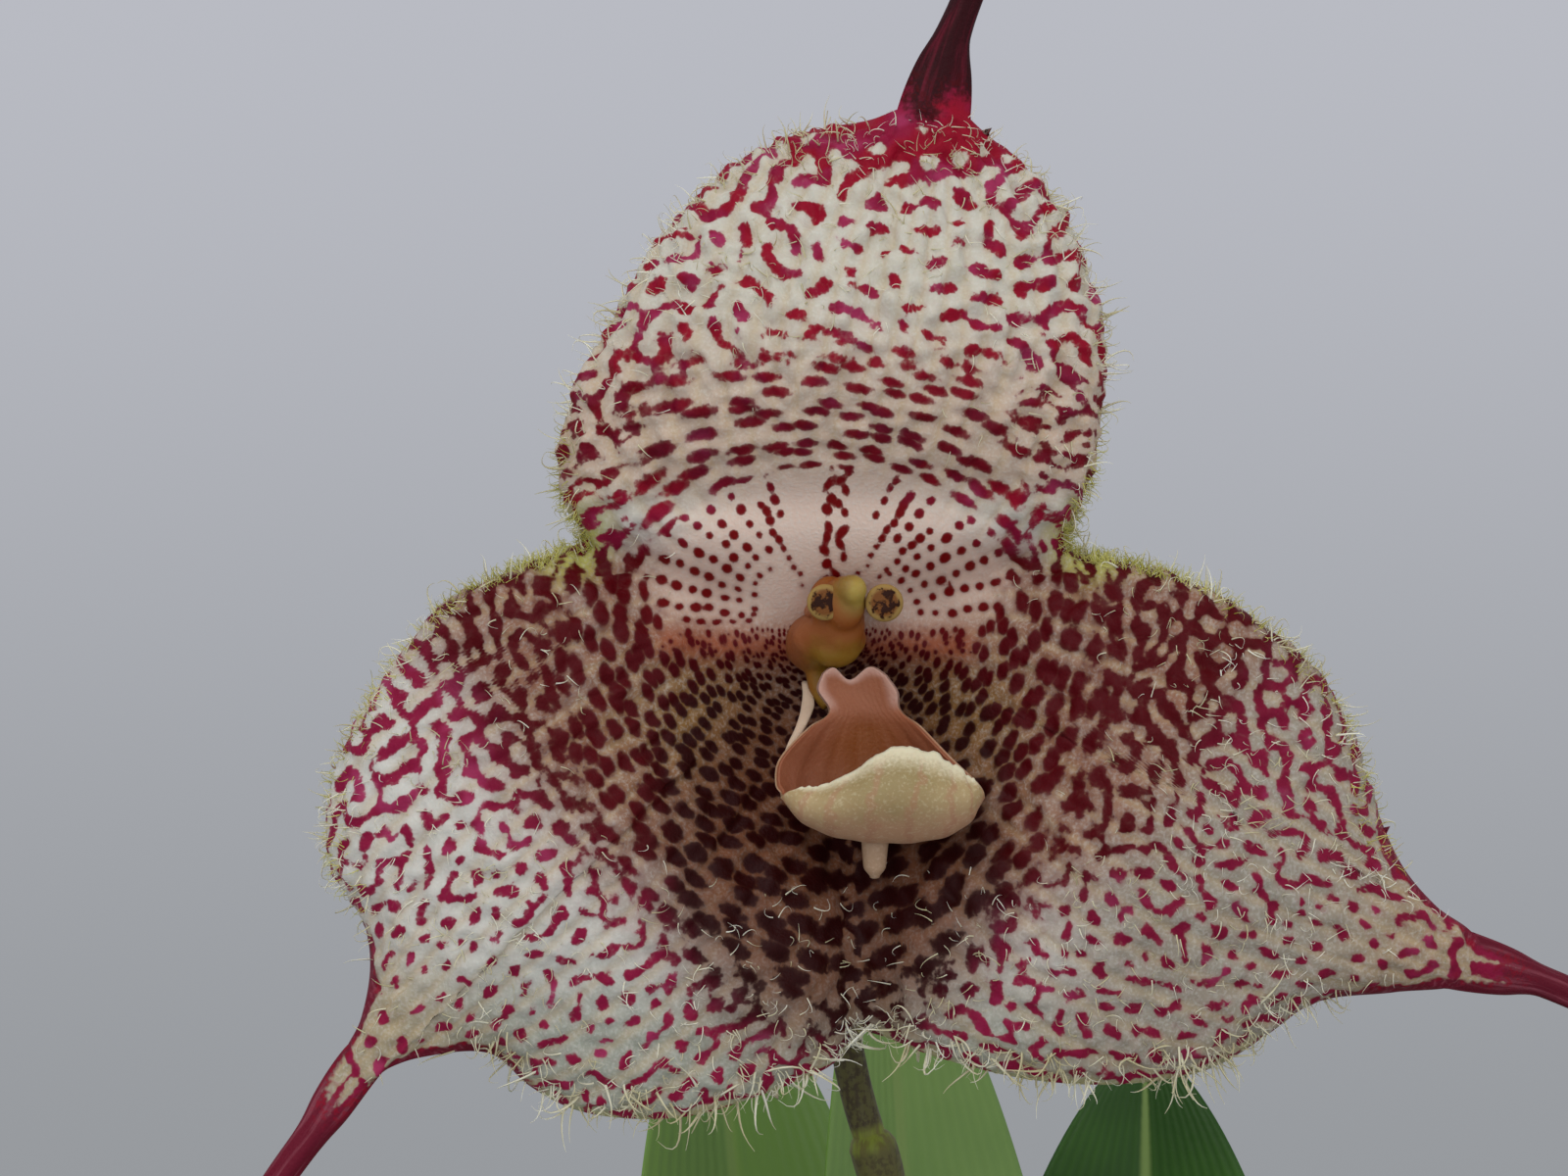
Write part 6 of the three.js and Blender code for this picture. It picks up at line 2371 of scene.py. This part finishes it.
@dataclass(frozen=True)
class BarkFinish(Finish):
    """Rough brown bark."""

    name: str = "rough_bark"
    dark: Colour = seen(60, 42, 28)
    light: Colour = seen(118, 84, 54)

    def dress(self, graph: Graph, shader: bpy.types.Node) -> None:
        """Paints the bark.

        Args:
            graph: The material's graph.
            shader: Its shader.
        """
        here = graph.here()
        fibre = graph.noise(graph.stretched(here, (1.0, 0.25, 1.0)), 900, 4, 0.6)
        broad = graph.noise(here, 160, 2)
        colour = graph.blend(graph.rise(fibre * 0.6 + broad * 0.4, 0.36, 0.62), self.dark, self.light)
        feed(graph, shader, colour, 0.72 + fibre * 0.2, fibre, 0.5)


@dataclass
class Cover:
    """What lies on the mound: tufts of living moss, with bark between them."""

    medium: Medium
    pot: Pot
    feet: Tuple[Tuple[float, float], ...]
    blades: int = 6800
    chips: int = 90
    chip: Triple = (5.5, 3.2, 1.3)
    clear: float = 4.5
    seed: int = 31

    def scatter(self, rng: np.random.Generator, count: int, margin: float) -> Tuple[Array, Array, Array]:
        """Spreads places over the mound.

        Args:
            rng: The source of chance.
            count: How many.
            margin: How far they keep from the pot.

        Returns:
            Their three coordinates, in millimetres.
        """
        reach = self.pot.inner(self.medium.edge) - self.medium.gap
        turn, out = rng.uniform(0, 2 * np.pi, count), (reach - margin) * np.sqrt(rng.uniform(0, 1, count))
        x, y = out * np.cos(turn), out * np.sin(turn)
        return x, y, self.medium.height(x, y, reach)

    def build_moss(self, rng: np.random.Generator) -> bpy.types.Object:
        """Grows the moss, thicker in tufts.

        Args:
            rng: The source of chance.

        Returns:
            The piece.
        """
        x, y, z = self.scatter(rng, 2 * self.blades, 1.2)
        tufted = 0.62 + 0.5 * np.sin(x * 0.31 + 0.6) * np.cos(y * 0.27 + 1.2) + 0.3 * np.sin(x * 0.12 - y * 0.16)
        kept = np.flatnonzero(rng.uniform(0, 1, len(x)) < tufted)[:self.blades]
        x, y, z, tufted = x[kept], y[kept], z[kept], tufted[kept]
        lean = rng.normal(0, 0.42, (len(x), 2))
        grow = unit(np.column_stack([lean[:, 0] + x / 110, lean[:, 1] + y / 110, np.ones(len(x))]))
        size = rng.uniform(1.8, 4.2, len(x)) * (0.7 + 0.45 * tufted)
        bristles = Bristles("moss_blades", 0.075, 4, MOSS_CURLS)
        return bristles.build(np.column_stack([x, y, z - 0.5]), grow, size, rng.uniform(0, 2 * np.pi, len(x)),
                              MossFinish(), "medium", Place.PLANT)

    def build_chips(self, rng: np.random.Generator) -> bpy.types.Object:
        """Lays the bark.

        Args:
            rng: The source of chance.

        Returns:
            The piece.
        """
        skin = Skin("bark_chips")
        x, y, z = self.scatter(rng, self.chips, 8.0)
        for at in zip(x, y, z):
            if min(math.hypot(at[0] - fx, at[1] - fy) for fx, fy in self.feet) < self.clear:
                continue
            shape = ball((0.0, 0.0, 0.0), (1.0, 1.0, 1.0), 9, 12)
            rough = 1 + rng.normal(0, 0.07, shape.shape[:2])[..., None]
            square = unit(np.sign(shape) * np.abs(shape) ** 0.55) * rough
            sized = square * (np.array(self.chip) * rng.uniform(0.55, 1.25, 3))
            turn, tip = rng.uniform(0, 2 * np.pi), rng.normal(0, 0.3)
            c, s, ct, st = math.cos(turn), math.sin(turn), math.cos(tip), math.sin(tip)
            tipped = np.stack([sized[..., 0] * ct - sized[..., 2] * st, sized[..., 1],
                               sized[..., 0] * st + sized[..., 2] * ct], -1)
            skin.tube(np.stack([tipped[..., 0] * c - tipped[..., 1] * s, tipped[..., 0] * s + tipped[..., 1] * c,
                                tipped[..., 2]], -1) + np.array(at) + np.array([0, 0, 0.3]))
        mesh = skin.mesh()
        mesh.set_sharp_from_angle(angle=math.radians(50))
        return hand_in(skin.name, mesh, BarkFinish(), "medium")

    def build(self) -> List[bpy.types.Object]:
        """Lays the bark and grows the moss."""
        rng = np.random.default_rng(self.seed)
        return [self.build_chips(rng), self.build_moss(rng)]


# The studio.


@dataclass(frozen=True)
class FloorFinish(Finish):
    """A plain pale floor that fades out into the light around it."""

    name: str = "pale_floor"
    pale: Colour = seen(178, 181, 187, 1.0)
    fade: Tuple[float, float] = (0.55, 1.2)

    def plain(self) -> Dict[str, object]:
        """Gives the floor its colour."""
        return {"Base Color": self.pale, "Roughness": 0.8, "Specular IOR Level": 0.2}

    def dress(self, graph: Graph, shader: bpy.types.Node) -> None:
        """Fades the floor out by how far from the pot it is.

        Args:
            graph: The material's graph.
            shader: Its shader.
        """
        away = graph.value("ShaderNodeVectorMath", {"operation": "LENGTH"}, {"Vector": graph.here()}, "Value")
        clear = graph.value("ShaderNodeBsdfTransparent")
        mixed = graph.value("ShaderNodeMixShader", None, {
            "Fac": graph.rise(away, *self.fade), "Shader": Socket(graph, shader.outputs[0]), "Shader_001": clear})
        output = next(node for node in graph.tree.nodes if node.type == "OUTPUT_MATERIAL")
        graph.tree.links.new(mixed.socket, output.inputs["Surface"])


@dataclass(frozen=True)
class Lamp:
    """A soft square light, in metres and watts."""

    name: str
    at: Triple
    size: float
    power: float


@dataclass
class Stage:
    """The camera, the soft light and the floor."""

    camera_at: Triple = (-14.5, -305.0, 264.2)
    lens: float = 105.3
    sensor: float = 36.0
    lamps: Tuple[Lamp, ...] = (
        Lamp("key", (-0.25, -0.65, 0.95), 0.7, 2.5),
        Lamp("fill", (0.7, -0.5, 0.45), 0.6, 0.7),
        Lamp("front", (-0.1, -1.0, 0.36), 0.9, 2.0),
    )
    lower: Colour = seen(150, 153, 157, 1.0)
    upper: Colour = seen(186, 188, 196, 1.0)
    rise: Tuple[float, float] = (-0.16, 0.16)
    floor_radius: float = 1.25

    def build_camera(self) -> None:
        """Sets the camera up, level, before the flower."""
        scene = bpy.context.scene
        camera = bpy.data.cameras.new("camera")
        camera.lens, camera.sensor_width = self.lens, self.sensor
        camera.clip_start, camera.clip_end = 0.01, 20
        holder = bpy.data.objects.new("camera", camera)
        holder.location = Vector(self.camera_at) * MM
        holder.rotation_euler = (math.pi / 2, 0, 0)
        scene.collection.objects.link(holder)
        scene.camera = holder
        scene.view_settings.view_transform = "Standard"

    def build_light(self) -> None:
        """Sets up the room's soft light, a little paler above than below, and the lamps."""
        scene = bpy.context.scene
        world = bpy.data.worlds.new("soft_room")
        scene.world = world
        world.use_nodes = True
        graph = Graph(world.node_tree)
        way = graph.value("ShaderNodeTexCoord", None, None, "Generated")
        up = graph.value("ShaderNodeSeparateXYZ", None, {"Vector": way}, "Z")
        colour = graph.blend(graph.rise(up, *self.rise), self.lower, self.upper)
        light = graph.value("ShaderNodeBackground", None, {"Color": colour, "Strength": 1.0})
        graph.node("ShaderNodeOutputWorld", None, {"Surface": light})
        for lamp in self.lamps:
            data = bpy.data.lights.new(lamp.name, "AREA")
            data.size, data.energy = lamp.size, lamp.power
            stand = bpy.data.objects.new(lamp.name, data)
            stand.location = lamp.at
            stand.rotation_euler = (Vector(FLOWER_AT) * MM - Vector(lamp.at)).to_track_quat("-Z", "Y").to_euler()
            scene.collection.objects.link(stand)

    def build_floor(self) -> None:
        """Lays the floor."""
        turn = 2 * np.pi * np.arange(96) / 96
        ring = np.column_stack([np.cos(turn), np.sin(turn), 0 * turn]) * self.floor_radius / MM
        skin = Skin("floor")
        skin.add(np.vstack([ring, [[0, 0, 0]]]) - np.array([0, 0, 0.05]))
        here = np.arange(96)
        skin.face(np.column_stack([here, np.roll(here, -1), np.full(96, 96)]))
        place_object("floor", skin.mesh(), FloorFinish().material())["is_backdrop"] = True

    def build(self) -> None:
        """Sets everything up."""
        self.build_camera()
        self.build_light()
        self.build_floor()


def corners() -> List[List[float]]:
    """Reads the scene's box, in metres."""
    return [[float(c) for c in corner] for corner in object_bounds()]


def main() -> None:
    """Builds the plant from its pot up, then the stage."""
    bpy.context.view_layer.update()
    pot, medium, leaves, stalk, sepals, middle = Pot(), Medium(), Leaves(), FlowerStalk(), Sepals(), FlowerMiddle()
    pot.build()
    medium.build(pot)
    Cover(medium, pot, (*(entry[0] for entry in leaves.entries), stalk.path[0][:2])).build()
    leaves.build()
    stalk.build()
    sepals.build()
    SepalHairs(sepals.shape).build()
    middle.build_column()
    middle.build_petals()
    Lip().build()
    Stage().build()


if __name__ == "__main__":
    main()
